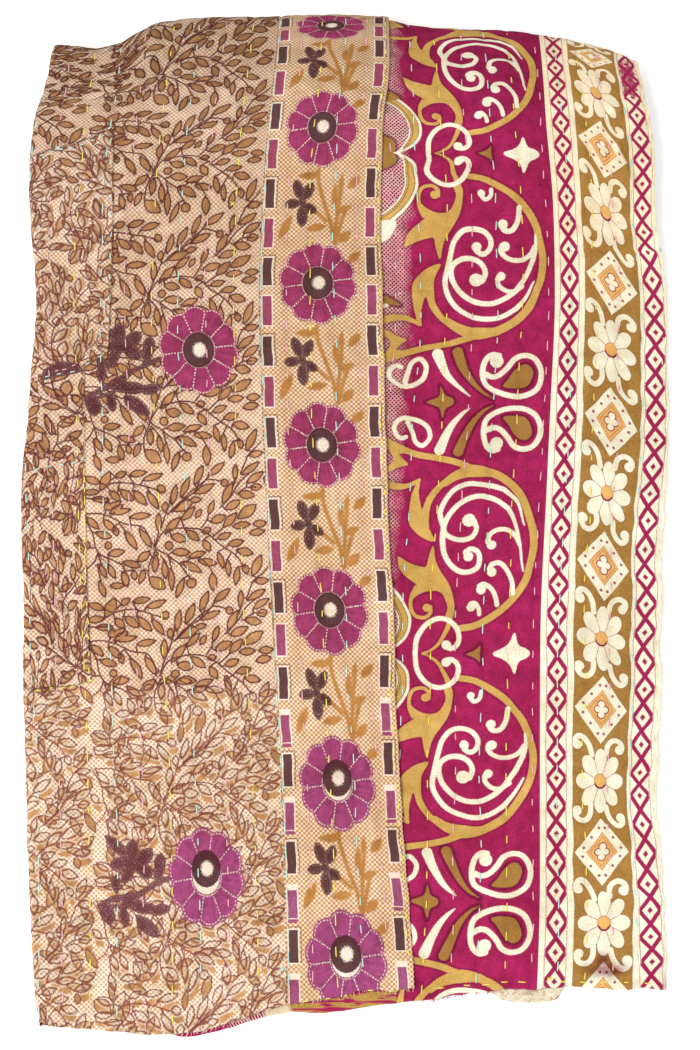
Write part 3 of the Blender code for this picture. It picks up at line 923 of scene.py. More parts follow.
def hem_wave(u, along):
    """The stitches draw the band's edges into uneven waves, most at the hem."""
    share = u / DAISY_BAND
    return (0.9 * soft_noise(along / 17, share * 2, 21) + 0.9 * soft_noise(along / 44, share, 22)
            ) * (0.45 + 0.9 * share)


def daisy_print(u, along, x, y):
    """Distances for the daisy band's print, whose rows slant more towards the fold."""
    slant = np.interp(along, SLANT_PLACES, SLANTS)
    v = placed(along, DAISY_PLACES, DAISY_LENGTHS)
    v = v + slant * (u - DAISY_MIDDLE) + 0.9 * soft_noise(u / 24, v / 20, 23)
    jolt = along + 1.6 * soft_noise(along / 31, 0.0, 31)
    left = placed(jolt, LEFT_PLACES, np.array(LEFT_COUNTS) * LATTICE_PITCH)
    right = placed(jolt, RIGHT_PLACES, np.array(RIGHT_COUNTS) * LATTICE_PITCH)
    pull = np.interp(along, HEM_PULL_PLACES, HEM_PULLS)
    u = u + hem_wave(u, along) + pull * ease((u - 62) / 60)
    stain = np.zeros(u.shape)
    for stain_x, stain_y, half_width, half_height in STAINS:
        away = np.hypot((x - stain_x) / half_width, (y - stain_y) / half_height)
        stain = np.maximum(stain, np.exp(-away * away))
    curl = drawn(u - DAISY_MIDDLE, wrap(v, DAISY_PITCH),
                 [(CURL_WIDTH, CURL_WIDTH, points) for points in DAISY_CURLS],
                 [(*points[-1], CURL_HEAD) for points in DAISY_CURLS])
    smear_u, smear_along, half_width, half_length = SMEAR
    smear = np.exp(-((u - smear_u) / half_width) ** 4 - ((along - smear_along) / half_length) ** 4)
    return {"u": u, "v": v, "curl": curl, "stain": stain, "smear": smear,
            "lattices": (left, right)}


# The running stitch: rows along the throw, with the places of their stitches.

STITCH_ROWS = {
    "leaf": ((-30, "yellow"), (-60, "pink"), (-90, "aqua"), (-120, "yellow"), (-150, "pink"),
             (-178, "aqua"), (-207, "yellow"), (-236, "pink"), (-262, "aqua")),
    "flower": ((-131, "aqua"), (-105, "pink"), (-79, "yellow"), (-52, "aqua"), (-26, "pink"),
               (-4, "yellow")),
    "scroll": ((-179, "pink"), (-151, "aqua"), (-121, "yellow"), (-92, "pink"), (-64, "aqua"),
               (-36, "yellow"), (-7, "pink")),
    "daisy": ((20, "aqua"), (48, "yellow"), (75, "pink"), (101, "aqua"), (127, "cream")),
}
ROW_STITCHES = {-131: (23.0, 15.0), -4: (20.0, 9.0), 48: (36.0, 8.0), 75: (36.0, 8.0),
                127: (25.0, 8.0)}
ROW_WIDTH = 4.5            # half width of the groove that a row draws in
DIMPLE_LENGTH, DIMPLE_WIDTH = 3.2, 3.0      # where a stitch's ends pull the cloth down


def row_wander(row_u, along):
    """How far a row of stitches strays sideways."""
    return 2.2 * soft_noise(along / 95 + row_u, row_u * 0.37, 8)


def row_stitches(row_u, sizes, first, last):
    """Middles and lengths of one row's stitches."""
    random = np.random.default_rng(int(abs(row_u) * 10) + 17)
    usual = sizes.stitch_pitch / MM, sizes.stitch_length / MM
    pitch, length = ROW_STITCHES.get(row_u, usual)
    middles, lengths, place = [], [], first + random.uniform(2, pitch)
    while place < last:
        middles.append(place)
        lengths.append(length * random.uniform(0.72, 1.2))
        place += pitch * random.uniform(0.86, 1.14)
    return np.array(middles), np.array(lengths)


# Creases placed on the upper face: (x, y, half_length, half_width, turn, height).
CREASES = (
    (-258, 400, 34, 2.6, 62, -1.3), (-236, 395, 60, 4.0, 20, 1.1),
    (-196, 455, 55, 6.0, 152, 1.6), (-160, 470, 60, 5.0, 30, -1.4),
    (-115, 480, 46, 7.0, 24, 1.7), (-240, 330, 120, 4.0, 88, -0.7),
    (-300, 250, 40, 6.0, 35, 0.9), (-330, 120, 30, 5.0, 150, 1.0),
    (-258, 200, 130, 2.2, 90, -1.2), (-276, -60, 110, 2.2, 93, -1.3),
    (-268, 60, 60, 3.5, 96, 0.8), (-318, -170, 40, 6.0, 20, 0.9),
    (-100, 60, 60, 12.0, 12, 0.8), (-150, -120, 70, 14.0, 160, 0.9),
    (-60, -250, 60, 10.0, 75, 0.8), (-10, 40, 70, 4.0, 92, 0.9),
    (-20, 200, 60, 4.0, 86, -0.7), (20, -330, 80, 5.0, 96, 0.8),
    (-90, -440, 46, 4.5, 20, -1.5), (-110, -455, 40, 4.5, 14, 1.3),
    (-235, -445, 22, 2.5, 60, -1.4), (60, 330, 60, 9.0, 100, 1.1),
    (110, 240, 90, 8.0, 84, 0.9), (150, -60, 80, 9.0, 95, 0.8),
    (180, -340, 60, 9.0, 70, 0.8), (250, 60, 60, 8.0, 15, 0.8),
    (310, 420, 46, 4.0, 70, 1.8), (325, 395, 40, 3.5, 110, -1.6),
    (300, 455, 46, 4.0, 40, 1.5), (335, 300, 22, 7.0, 5, 1.1),
    (335, 150, 20, 7.0, 170, 1.0), (330, -20, 22, 7.0, 8, 1.0),
    (328, -200, 22, 8.0, 172, 1.0), (326, -380, 22, 8.0, 5, 1.0),
    (90, 470, 60, 6.0, 150, 1.3), (-20, 490, 70, 5.0, 172, -1.0),
    (-282, -140, 44, 2.4, 92, -1.6),
)
# Three old patches on the leaf cloth, as outlines on the flap, and how far they stand up.
PATCHES = {
    "upper patch": ((-362, 396), (-337, 407), (-309, 414), (-284, 423), (-271, 429),
                    (-264, 438), (-264, 321), (-267, 178), (-278, 171), (-293, 160),
                    (-319, 149), (-362, 136)),
    "middle patch": ((-362, 136), (-319, 149), (-293, 160), (-293, 143), (-292, 97),
                     (-290, 53), (-310, 49), (-362, 34)),
    "lower patch": ((-362, 34), (-310, 49), (-290, 53), (-290, 39), (-285, -80),
                    (-281, -158), (-277, -197), (-304, -203), (-362, -208)),
}
PATCH_RISE = 0.45
# Each patch's print is turned and squeezed: how much across and along, how far it is shifted,
# and how far its filling slips from the outlines.
PATCH_PRINTS = {"upper patch": (1.3, 1.0, 61.0, 12.0, 5.0),
                "middle patch": (1.1, 1.0, 105.0, 60.0, 0.6),
                "lower patch": (1.8, 0.85, 30.0, 40.0, 2.0)}
DEEPEST = -1.5             # any deeper and the face would meet the one below it


def crease_height(x, y):
    total = np.zeros(x.shape)
    for place_x, place_y, half_length, half_width, turn, height in CREASES:
        dx, dy = x - place_x, y - place_y
        bow = 0.12 * soft_noise(dx / 30, dy / 30, place_x) * half_length
        long, wide = turned(dx, dy, turn)
        long, wide = long / half_length, (wide + bow) / half_width
        total += height * np.exp(-(long * long + wide * wide))
    return total


def patch_distance(x, y, patches=tuple(PATCHES)):
    nearest = np.full(x.shape, FAR)
    for patch in patches:
        nearest = np.minimum(nearest, shape_distance(x, y, np.array(PATCHES[patch], float)))
    return nearest


def quilting(kind, u, along, sizes):
    """Relief of the stitched rows and the puckers between them."""
    depth, pucker = sizes.row_depth / MM, sizes.pucker_depth / MM
    relief = np.zeros(u.shape)
    for row_u, _ in STITCH_ROWS[kind]:
        away = u - row_u - row_wander(row_u, along)
        groove = np.exp(-(away / ROW_WIDTH) ** 2)
        middles, lengths = row_stitches(row_u, sizes, along.min(), along.max())
        nearest = np.searchsorted((middles[1:] + middles[:-1]) / 2, along)
        ends = np.abs(np.abs(along - middles[nearest]) - lengths[nearest] / 2)
        held = np.exp(-(ends / DIMPLE_LENGTH) ** 2) * np.exp(-(away / DIMPLE_WIDTH) ** 2)
        relief -= depth * (0.65 + 0.35 * soft_noise(along / 37, row_u, 9)) * groove
        relief -= 0.55 * depth * held
    fine = soft_noise(u / 11 + 0.35 * along / 22, along / 9, 11)
    cross = soft_noise(u / 26, along / 13, 12)
    broad = soft_noise(u / 70, along / 110, 13)
    return relief + pucker * (0.55 * fine + 0.75 * cross) + 0.8 * broad


def upper_relief(kind, points, u, along, sizes):
    """Everything that stands up or sinks in on the upper face."""
    x, y = points[..., 0], points[..., 1]
    relief = quilting(kind, u, along, sizes) + crease_height(x, y)
    if kind == "leaf":
        relief += PATCH_RISE * ease(0.5 - patch_distance(x, y) / 2.5)
    if kind == "flower":
        relief += 0.5 * ease((u + 11) / 3) - 0.4 * np.exp(-((u + 131) / 2.5) ** 2)
    if kind == "daisy":
        relief += 0.5 * ease((u - 121) / 3)
    return np.maximum(relief, DEEPEST)


def lower_relief(kind, points, u, along, sizes):
    """The face that lies on the surface is pressed flat, but for its stitched rows."""
    return np.minimum(quilting(kind, u, along, sizes), 0.0)


def inner_relief(kind, points, u, along, sizes):
    """Soft unevenness of the faces between the layers."""
    return 0.4 * soft_noise(u / 34, along / 30, 14) - 0.3


def settled(relief, section, rows, share):
    """Relief fades out where the left fold and the far end meet the faces below."""
    relief = np.where(section.band == BEND, relief * ease(share * 2.5), relief)
    return np.where(rows.stretch == UNDER, relief * (1 - rows.share) ** 2, relief)


# Making a piece of cloth from its stations.

def inner_print(u, along, x, y):
    return {"v": along}


PRINTS = {"leaf": leaf_print, "flower": flower_print, "scroll": scroll_print,
          "daisy": daisy_print, "leaf inside": inner_print, "scroll inside": inner_print}


def print_across(kind, section, share, points):
    """U: the distance from the line that each print starts from."""
    x, y = points[..., 0], points[..., 1]
    if kind == "leaf":
        bend_length = math.pi * (SIDE_FOLD_RADIUS + HALF)
        on_bend = fold_axis(y) - LINES["seam"](y) - (1 - share) * bend_length
        return np.where(section.band == BEND, on_bend, x - LINES["seam"](y))
    if kind == "flower":
        hem, seam = LINES["flap hem"](y), LINES["seam"](y)
        return (x - hem) / (hem - seam) * FLOWER_BORDER
    if kind == "scroll":
        return x - LINES["border"](y)
    if kind in ("leaf inside", "scroll inside"):
        return x - fold_axis(y)
    border, hem = LINES["border"](y), LINES["right hem"](y)
    return (x - border) / (hem - border) * DAISY_BAND


def fill_values(mesh, name, kind, channel, values):
    attribute = mesh.attributes.new(name, kind, "POINT")
    attribute.data.foreach_set(channel, values.astype(np.float32).ravel())


def add_map(mesh, name, places):
    layer = mesh.uv_layers.new(name=name)
    layer.data.foreach_set("uv", places.astype(np.float32).ravel())


BAKE_MARGIN = 0.006


def strip_map(row, column, shape, strips):
    """A map for baking: the grid is cut into strips that lie side by side."""
    strip_rows = math.ceil((shape[0] - 1) / strips)
    strip = np.repeat(row.reshape(-1, 4).min(axis=1) // strip_rows, 4)
    room = 1 - 2 * BAKE_MARGIN
    across = BAKE_MARGIN + column / (shape[1] - 1) * room
    upward = (row - strip * strip_rows) / strip_rows
    return np.stack([(strip + across) / strips, BAKE_MARGIN + upward * room], -1)


def cloth_mesh(name, points, print_uv, values, bake_strips):
    """A grid laid out at these places, with its print's map and distances."""
    rows, columns = points.shape[:2]
    grid = bmesh.new()
    bmesh.ops.create_grid(grid, x_segments=columns - 1, y_segments=rows - 1, size=0.5)
    mesh = bpy.data.meshes.new(name)
    grid.to_mesh(mesh)
    grid.free()
    flat = np.empty(len(mesh.vertices) * 3, np.float32)
    mesh.vertices.foreach_get("co", flat)
    flat = flat.reshape(-1, 3)
    column = np.rint((flat[:, 0] + 0.5) * (columns - 1)).astype(int)
    row = np.rint((flat[:, 1] + 0.5) * (rows - 1)).astype(int)
    mesh.vertices.foreach_set("co", (points[row, column] * MM).astype(np.float32).ravel())
    for key, value in values.items():
        if isinstance(value, tuple):
            vectors = np.zeros((len(row), 3))
            vectors[:, 0], vectors[:, 1] = value[0][row, column], value[1][row, column]
            fill_values(mesh, key, "FLOAT_VECTOR", "vector", vectors)
        else:
            fill_values(mesh, key, "FLOAT", "value", np.clip(value[row, column], -FAR, FAR))
    corners = np.empty(len(mesh.loops), np.int32)
    mesh.loops.foreach_get("vertex_index", corners)
    uv = np.stack([print_uv[0][row, column], print_uv[1][row, column]], -1) * MM
    add_map(mesh, "Print", uv[corners])
    add_map(mesh, "OFBake", strip_map(row[corners], column[corners], points.shape, bake_strips))
    mesh.uv_layers.active = mesh.uv_layers["Print"]
    mesh.shade_smooth()
    mesh.update()
    return mesh


def add_piece(name, mesh, material):
    piece = bpy.data.objects.new(name, mesh)
    bpy.context.scene.collection.objects.link(piece)
    mesh.materials.append(material)
    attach(piece, BODY)
    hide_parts(NODE)
    return piece


class Face:
    """A laid face of the cloth, for sewing on it."""

    def __init__(self, kind, places, outward, u, along):
        self.kind, self.places, self.u, self.along = kind, places, u, along
        self.outward = outward / np.maximum(np.linalg.norm(outward, axis=-1), 1e-6)[..., None]

    def row_path(self, row_u):
        """A row of stitches over the face: distances along, places and outward directions."""
        rows = self.places.shape[0]
        along, places, outward = np.empty(rows), np.empty((rows, 3)), np.empty((rows, 3))
        for row in range(rows):
            across = self.u[row]
            along[row] = np.interp(row_u, across, self.along[row])
            target = row_u + row_wander(row_u, along[row])
            for axis in range(3):
                places[row, axis] = np.interp(target, across, self.places[row, :, axis])
                outward[row, axis] = np.interp(target, across, self.outward[row, :, axis])
        return along, places, outward

    def nearest(self, x, y):
        """The place and outward direction of the upper face above a point of the plan."""
        away = (self.places[..., 0] - x) ** 2 + (self.places[..., 1] - y) ** 2
        away = np.where(self.outward[..., 2] > 0.3, away, 1e9)
        spot = np.unravel_index(np.argmin(away), away.shape)
        return self.places[spot], self.outward[spot]


FACES = {}


def face_outwards(mesh, places, outward):
    """Turns the mesh round if its faces point into the cloth."""
    row, column = places.shape[0] // 2, places.shape[1] // 2
    spots = np.empty(len(mesh.vertices) * 3, np.float32)
    normals = np.empty(len(mesh.vertices) * 3, np.float32)
    mesh.vertices.foreach_get("co", spots)
    mesh.vertices.foreach_get("normal", normals)
    spots = spots.reshape(-1, 3) - places[row, column] * MM
    nearest = np.argmin(np.linalg.norm(spots, axis=1))
    if float(normals.reshape(-1, 3)[nearest] @ outward[row, column]) < 0:
        mesh.flip_normals()


UPPER = (FRONT, RISE, OVER, UNDER)
ALL = (*UPPER, BACK)
LEAF_SIDE, MAGENTA_SIDE = -1, 1
ALONG_UNIT = 25.0          # finishes read the place along the throw in this unit
ALONG_LIMIT = 900.0
RELIEF_LIMIT = 2.0


def lay_cloth(name, kind, section, step, stretches, side, relief, material, strips):
    """One face of the cloth, with its print, as a sheet of its own."""
    sizes = bpy.context.scene.quilt_sizes
    rows = Rows(step, ALL if BACK in stretches else UPPER)
    points, share = cloth_points(section, rows, side)
    along = distance_along(points, rows)
    u = print_across(kind, section, share, points)
    height = settled(relief(kind, points, u, along, sizes), section, rows, share)
    raised, _ = cloth_points(section, rows, side, height)
    inner, _ = cloth_points(section, rows, side, height - 1.0)
    outward = raised - inner
    kept = slice(None)
    if stretches == (BACK,):
        kept = slice(int(np.argmax(rows.stretch[:, 0] == BACK)) - 1, None)
    raised, outward, u, along = raised[kept], outward[kept], u[kept], along[kept]
    values = PRINTS[kind](u, along, raised[..., 0], raised[..., 1])
    values["along"] = np.clip(along, -ALONG_LIMIT, ALONG_LIMIT) / ALONG_UNIT
    # The relief also goes to the finishes, which paint shade in its hollows and highlight on its
    # ridges.
    values["relief"] = np.clip(height[kept], -RELIEF_LIMIT, RELIEF_LIMIT)
    place = values.pop("u", u), values.pop("v")
    mesh = cloth_mesh(name, raised, place, values, strips)
    FACES[name] = Face(kind, raised, outward, u, along)
    face_outwards(mesh, raised, outward)
    piece = add_piece(name, mesh, material)


# Threads: one stitch shape, laid along every row.

def stitch_shape():
    """A short thread along Y, one unit long and wide, whose ends dip into the cloth."""
    shape = bmesh.new()
    bmesh.ops.create_uvsphere(shape, u_segments=6, v_segments=6, radius=0.5)
    bmesh.ops.rotate(shape, verts=shape.verts[:],
                     matrix=Matrix.Rotation(math.radians(90), 3, "X"))
    places = []
    for vertex in shape.verts:
        x, y, z = vertex.co
        end = min(abs(y) * 2, 1.0)
        full = min(1 / max(math.sqrt(1 - min(end, 0.995) ** 2), 0.1), 1.35)
        stretched = math.copysign((end ** 0.62) / 2, y)
        places.append((x * full, stretched, z * full + 0.30 - 0.75 * end ** 4))
    # Blender gives a sphere's faces in another order each run, so they are sorted.
    faces = sorted(tuple(vertex.index for vertex in face.verts) for face in shape.faces)
    shape.free()
    return np.array(places), faces


class Threads:
    """Stitches of all colours, gathered until each colour is made one mesh."""

    def __init__(self):
        self.frames = {}

    def add(self, tint, start, end, outward, width):
        middle, line = (start + end) / 2, end - start
        length = float(np.linalg.norm(line))
        line = line / length
        outward = outward - line * float(outward @ line)
        outward = outward / np.linalg.norm(outward)
        across = np.cross(line, outward)
        frame = np.stack([across * width, line * length, outward * width], axis=0)
        self.frames.setdefault(tint, []).append((middle, frame))

    def mesh(self, tint, name):
        shape, faces = stitch_shape()
        frames = self.frames[tint]
        places = np.concatenate([shape @ frame + middle for middle, frame in frames]) * MM
        count = len(shape)
        joined = [tuple(index + count * step for index in face)
                  for step in range(len(frames)) for face in faces]
        mesh = bpy.data.meshes.new(name)
        mesh.from_pydata(places.tolist(), [], joined)
        mesh.shade_smooth()
        return mesh

    def add_piece(self, tint, name, material):
        """Makes all stitches of one colour a piece."""
        dye = getattr(bpy.context.scene.quilt_colours, tint)
        add_piece(name, self.mesh(tint, name), thread_finish(material, dye))


PRESSED = 0.85             # threads below are pressed in by this share of their width


def sew_rows(threads, face, sizes):
    """The running stitch along every row of a face."""
    for row_u, tint in STITCH_ROWS[face.kind]:
        along, places, outward = face.row_path(row_u)
        middles, lengths = row_stitches(row_u, sizes, face.along.min(), face.along.max())
        random = np.random.default_rng(int(abs(row_u) * 7) + 3)
        for middle, length in zip(middles, lengths):
            skew = random.uniform(-0.5, 0.5, 2)
            if not along[0] + 8 < middle < along[-1] - 8:
                continue
            ends = []
            for at, shift in ((middle - length / 2, skew[0]), (middle + length / 2, skew[1])):
                place = [np.interp(at, along, places[:, axis]) for axis in range(3)]
                ends.append(np.array(place) + (shift, 0.0, 0.0))
            out = np.array([np.interp(middle, along, outward[:, axis]) for axis in range(3)])
            if out[2] < -0.7:
                ends = [end - out * sizes.thread_width / MM * PRESSED for end in ends]
            threads.add(tint, ends[0], ends[1], out, sizes.thread_width / MM)


# Stitches along the patches' edges and the near hems: thread, length, gap and path on the plan.
EDGE_SEAMS = (
    ("aqua", 5.0, 6.0, ((-352, 397), (-337, 404), (-309, 411), (-284, 420), (-265, 434))),
    ("aqua", 5.0, 15.0, ((-266, 425), (-266, 321), (-269, 182))),
    ("aqua", 6.0, 9.0, ((-270, 176), (-294, 162))),
    ("aqua", 6.0, 8.0, ((-350, 37), (-328, 43), (-310, 47), (-291, 51))),
    ("yellow", 8.5, 3.0, ((-291, 44), (-288, -18), (-286, -92))),
    ("yellow", 6.0, 15.0, ((-285, -98), (-279, -190))),
    ("yellow", 5.0, 8.0, ((-278, -199), (-304, -205), (-345, -209))),
    ("aqua", 6.0, 6.0, ((-341, 144), (-300, 157))), ("pink", 4.0, 6.0, ((-330, 152), (-300, 163))),
    ("yellow", 7.0, 15.0, ((-58, -553), (-10, -542), (58, -530))),
    ("yellow", 7.0, 14.0, ((84, -527), (150, -522), (204, -519))),
    ("yellow", 7.0, 12.0, ((214, -519), (262, -520), (330, -522))),
)
KNOTS = (("yellow", -277, -197), ("aqua", -293, 53), ("aqua", -69, -506), ("yellow", 214, -516),
         ("aqua", -325, 409), ("yellow", -130, 350), ("pink", 60, 250))


def face_at(x, y):
    """The place and outward direction of the upper side above a point of the plan."""
    found = [face.nearest(x, y) for face in FACES.values() if face.kind in STITCH_ROWS]
    return min(found, key=lambda at: math.hypot(at[0][0] - x, at[0][1] - y) - at[0][2] * 0.05)


def sew_edges(threads, sizes):
    """Stitches along the edges of the patches and hems, and a few knots."""
    random = np.random.default_rng(41)
    width = sizes.thread_width / MM
    for tint, length, gap, path in EDGE_SEAMS:
        knots = np.array(path, float)
        legs = np.hypot(*np.diff(knots, axis=0).T)
        along = np.concatenate([[0.0], np.cumsum(legs)])
        place = random.uniform(0, gap)
        while place + length < along[-1]:
            reach = length * random.uniform(0.8, 1.2)
            ends = []
            for at in (place, place + reach):
                x, y = (np.interp(at, along, knots[:, axis]) for axis in (0, 1))
                spot, out = face_at(x + random.uniform(-0.7, 0.7), y + random.uniform(-0.7, 0.7))
                ends.append(spot)
            if np.linalg.norm(ends[1] - ends[0]) > 1.5:
                threads.add(tint, ends[0], ends[1], out, width)
            place += reach + gap * random.uniform(0.7, 1.4)
    for tint, x, y in KNOTS:
        spot, out = face_at(x, y)
        for _ in range(5):
            lean = random.uniform(-2.6, 2.6, 2)
            reach = np.array((lean[0], lean[1], 0.0))
            threads.add(tint, spot - reach, spot + reach + out * random.uniform(0, 1.2), out, width)


FRAYED_HEMS = (("leaf_cloth_top", "cotton", 120), ("flower_border_top", "cotton", 40),
               ("scroll_cloth_top", "magenta", 70), ("daisy_band_top", "cream", 30))


def fray_hems(threads):
    """Loose ends of the weave along the near hems."""
    random = np.random.default_rng(53)
    for name, tint, count in FRAYED_HEMS:
        edge = FACES[name].places[0]
        for _ in range(count):
            start = edge[random.integers(2, len(edge) - 2)] + (0.0, 1.0, 0.0)
            lean = np.array((random.uniform(-0.9, 0.9), -1.0, random.uniform(-0.1, 0.25)))
            end = start + lean * random.uniform(2.0, 5.5)
            end[2] = max(end[2], 0.4)
            threads.add(tint, start, end, np.array((0.0, 0.0, 1.0)), random.uniform(0.3, 0.55))


# Finishes: materials worked out by nodes, written as ordinary sums.

class Field:
    """A number that a finish works out at every point."""

    def __init__(self, finish, socket):
        self.finish, self.socket = finish, socket

    def math(self, operation, *others, clamp=False):
        return self.finish.math(operation, self, *others, clamp=clamp)

    def __add__(self, other):
        return self.math("ADD", other)

    def __sub__(self, other):
        return self.math("SUBTRACT", other)

    def __rsub__(self, other):
        return self.finish.math("SUBTRACT", other, self)

    def __mul__(self, other):
        return self.math("MULTIPLY", other)

    def __truediv__(self, other):
        return self.math("DIVIDE", other)

    def __abs__(self):
        return self.math("ABSOLUTE")

    def least(self, *others):
        result = self
        for other in others:
            result = result.math("MINIMUM", other)
        return result

    def most(self, other):
        return self.math("MAXIMUM", other)

    def ramp(self, slope, start):
        """A straight slope, held between 0 and 1."""
        return self.math("MULTIPLY_ADD", slope, start, clamp=True)

    def wrap(self, pitch):
        """From -pitch/2 to pitch/2."""
        return self.math("WRAP", pitch / 2, -pitch / 2)

    def wave(self, pitch):
        """From 1 to -1 and back in each pitch."""
        return (self * (2 * math.pi / pitch)).math("COSINE")


def reach(x, y, across=1.0, along=1.0):
    """Distance from the middle of a round mark, or an oval one."""
    return (x * x * across + y * y * along).math("SQRT")


class Finish:
    """A material being put together."""

    def __init__(self, name, roughness):
        self.material = bpy.data.materials.new(name)
        self.material.use_nodes = True
        self.tree = self.material.node_tree
        self.surface = self.tree.nodes["Principled BSDF"]
        self.surface.inputs["Roughness"].default_value = roughness

    def node(self, kind, **settings):
        node = self.tree.nodes.new(kind)
        for key, value in settings.items():
            setattr(node, key, value)
        return node

    def feed(self, socket, value):
        if isinstance(value, Field):
            self.tree.links.new(value.socket, socket)
        elif isinstance(value, bpy.types.NodeSocket):
            self.tree.links.new(value, socket)
        else:
            socket.default_value = value

    def math(self, operation, *values, clamp=False):
        node = self.node("ShaderNodeMath", operation=operation, use_clamp=clamp)
        for socket, value in zip(node.inputs, values):
            self.feed(socket, value)
        return Field(self, node.outputs[0])

    def joined(self, *values):
        """Three numbers as a vector or a colour."""
        node = self.node("ShaderNodeCombineXYZ")
        for socket, value in zip(node.inputs, values):
            self.feed(socket, value)
        return node.outputs[0]

    def parted(self, vector):
        node = self.node("ShaderNodeSeparateXYZ")
        self.feed(node.inputs[0], vector)
        return Field(self, node.outputs[0]), Field(self, node.outputs[1])

    def mix(self, blend, share, under, over):
        node = self.node("ShaderNodeMix", data_type="RGBA", blend_type=blend)
        for index, value in ((0, share), (6, under), (7, over)):
            self.feed(node.inputs[index], value)
        return node.outputs[2]

    def lay(self, share, under, over):
        """One colour laid over another."""
        return self.mix("MIX", share, under, over)

    def dyed(self, base, tint):
        """A colour seen through a tint."""
        return self.mix("MULTIPLY", 1.0, base, tint)

    def shade(self, base, amount):
        """A colour made lighter or darker by a number about 1."""
        return self.dyed(base, self.joined(amount, amount, amount))

    def finished(self, base, height, depth, strength=1.0):
        """The material in this colour, with these heights as its bump."""
        self.feed(self.surface.inputs["Base Color"], base)
        bump = self.node("ShaderNodeBump")
        bump.inputs["Strength"].default_value = strength
        bump.inputs["Distance"].default_value = depth * MM
        self.feed(bump.inputs["Height"], height)
        self.feed(self.surface.inputs["Normal"], bump.outputs[0])
        return self.material


# Tints: what age has done to the colours, and the warmth of the painted shade.
WORN_AND_SHADED_WARMTH = (0.78, 1.0, 1.35)     # darker places of the cloth, worn ones and those in painted shade, are warmer: shares of red, green, blue
FADED_PINK = (0.80, 0.66, 0.68, 1.0)
AGED_COTTON = (0.87, 0.83, 0.84, 1.0)
AGED_BORDER = (0.98, 0.95, 0.90, 1.0)
AGED_CREAM = (1.0, 0.905, 0.82, 1.0)
OLIVE_TINT = (0.94, 0.96, 0.78, 1.0)
STAIN_TINT = (0.42, 0.20, 0.27, 1.0)
NO_TINT = (1.0, 1.0, 1.0, 1.0)


class Cloth(Finish):
    """Printed cotton, built up colour by colour. Its base is all that is printed so far."""

    def __init__(self, name):
        super().__init__(name, roughness=0.95)
        self.paints = bpy.context.scene.quilt_colours
        self.fray = None
        place = self.node("ShaderNodeUVMap", uv_map="Print")
        u, v = self.parted(place.outputs[0])
        self.u, self.v = u / MM, v / MM
        self.along = self.value("along")

    def value(self, name):
        """A number that the mesh carries: a distance in millimetres, but for "along"."""
        node = self.node("ShaderNodeAttribute", attribute_name=name)
        return Field(self, node.outputs["Fac"])

    def pair(self, name):
        """Two numbers that the mesh carries."""
        node = self.node("ShaderNodeAttribute", attribute_name=name)
        return self.parted(node.outputs["Vector"])

    def noise(self, across, along, detail, seed, roughness=0.5, at=None):
        """Noise from 0 to 1 whose spots are about so long across and along."""
        x, y = at or (self.u, self.v)
        node = self.node("ShaderNodeTexNoise", noise_dimensions="3D")
        node.inputs["Scale"].default_value = 1.0
        node.inputs["Detail"].default_value = detail
        node.inputs["Roughness"].default_value = roughness
        self.feed(node.inputs["Vector"], self.joined(x * (1 / across), y * (1 / along), seed))
        return Field(self, node.outputs[0])

    def bleed(self, amount=1.3):
        """From here on, edges are uneven, as dye bleeds along the threads."""
        self.fray = (self.noise(1.7, 1.7, 1.0, 41.0) - 0.5) * amount

    def cover(self, distance, soft=0.8):
        """1 where the distance is negative, 0 where it is positive, with a soft edge."""
        if self.fray is not None:
            distance = distance + self.fray
        return distance.ramp(-1 / soft, 0.5)

    def wash(self, share, colour):
        """Lays a share of a colour over the base."""
        self.base = self.lay(share, self.base, colour)

    def put(self, distance, colour, soft=0.8, share=1.0):
        """Prints a colour where the distance is negative."""
        self.wash(self.cover(distance, soft) * share, colour)

    def outline(self, distance, half_width, colour, soft=0.8, share=1.0):
        """Prints a line where the distance is about 0."""
        self.put(abs(distance) - half_width, colour, soft, share)

    def light(self, amount):
        """Makes the base lighter or darker."""
        self.base = self.shade(self.base, amount)

    def woven(self, coarse=0.80, blotches=0.34):
        """Woven cotton: threads and slubs, washed-out places, painted shade in the relief's hollows
        and painted highlight on its ridges, and a fine weave in the bump.
        """
        warp = self.noise(0.8, 11.0, 1.0, 1.0)
        weft = self.noise(10.0, 0.8, 1.0, 2.0)
        grain = self.noise(1.7, 2.0, 2.0, 3.0, 0.7)
        worn = self.noise(46.0, 60.0, 3.0, 4.0, 0.6)
        tone = (warp + weft) * 0.40 + grain * coarse + worn * blotches
        tone = tone + (0.61 - coarse / 2 - blotches / 2)
        # Painted shade and highlight: the relief darkens the hollows and lightens the ridges.
        tone = tone + self.value("relief") * 0.11
        tint = self.joined(*((tone - 1) * share + 1 for share in WORN_AND_SHADED_WARMTH))
        self.surface.inputs["Specular IOR Level"].default_value = 0.08
        return self.finished(self.dyed(self.base, tint), warp + weft + grain * 1.3, 0.35, 0.7)


DOT_PITCH = 5.2


def dotted_ground(cloth, pale, dark, share):
    """Pale cotton with a close mesh of dots, or a mesh with pale dots at a larger share."""
    wave = cloth.u.wave(DOT_PITCH) * cloth.v.wave(DOT_PITCH)
    patchy = cloth.noise(30.0, 42.0, 2.0, 7.0)
    cloth.base = cloth.lay(wave.ramp(2.1, patchy + (share - 0.5)), pale, dark)


HEAD_WIDTH, HEAD_LENGTH, HEAD_RADIUS = 42.5, 50.0, 46.0
HEAD_PETALS = 10
HEAD_HOLE = 16.4               # inside it the cloth is pale, with a plum ring
HEAD_DOTS = 18.2
DASH_PITCH = 3.4               # along the lines between the petals
RIM_DASH_PITCH = 3.8


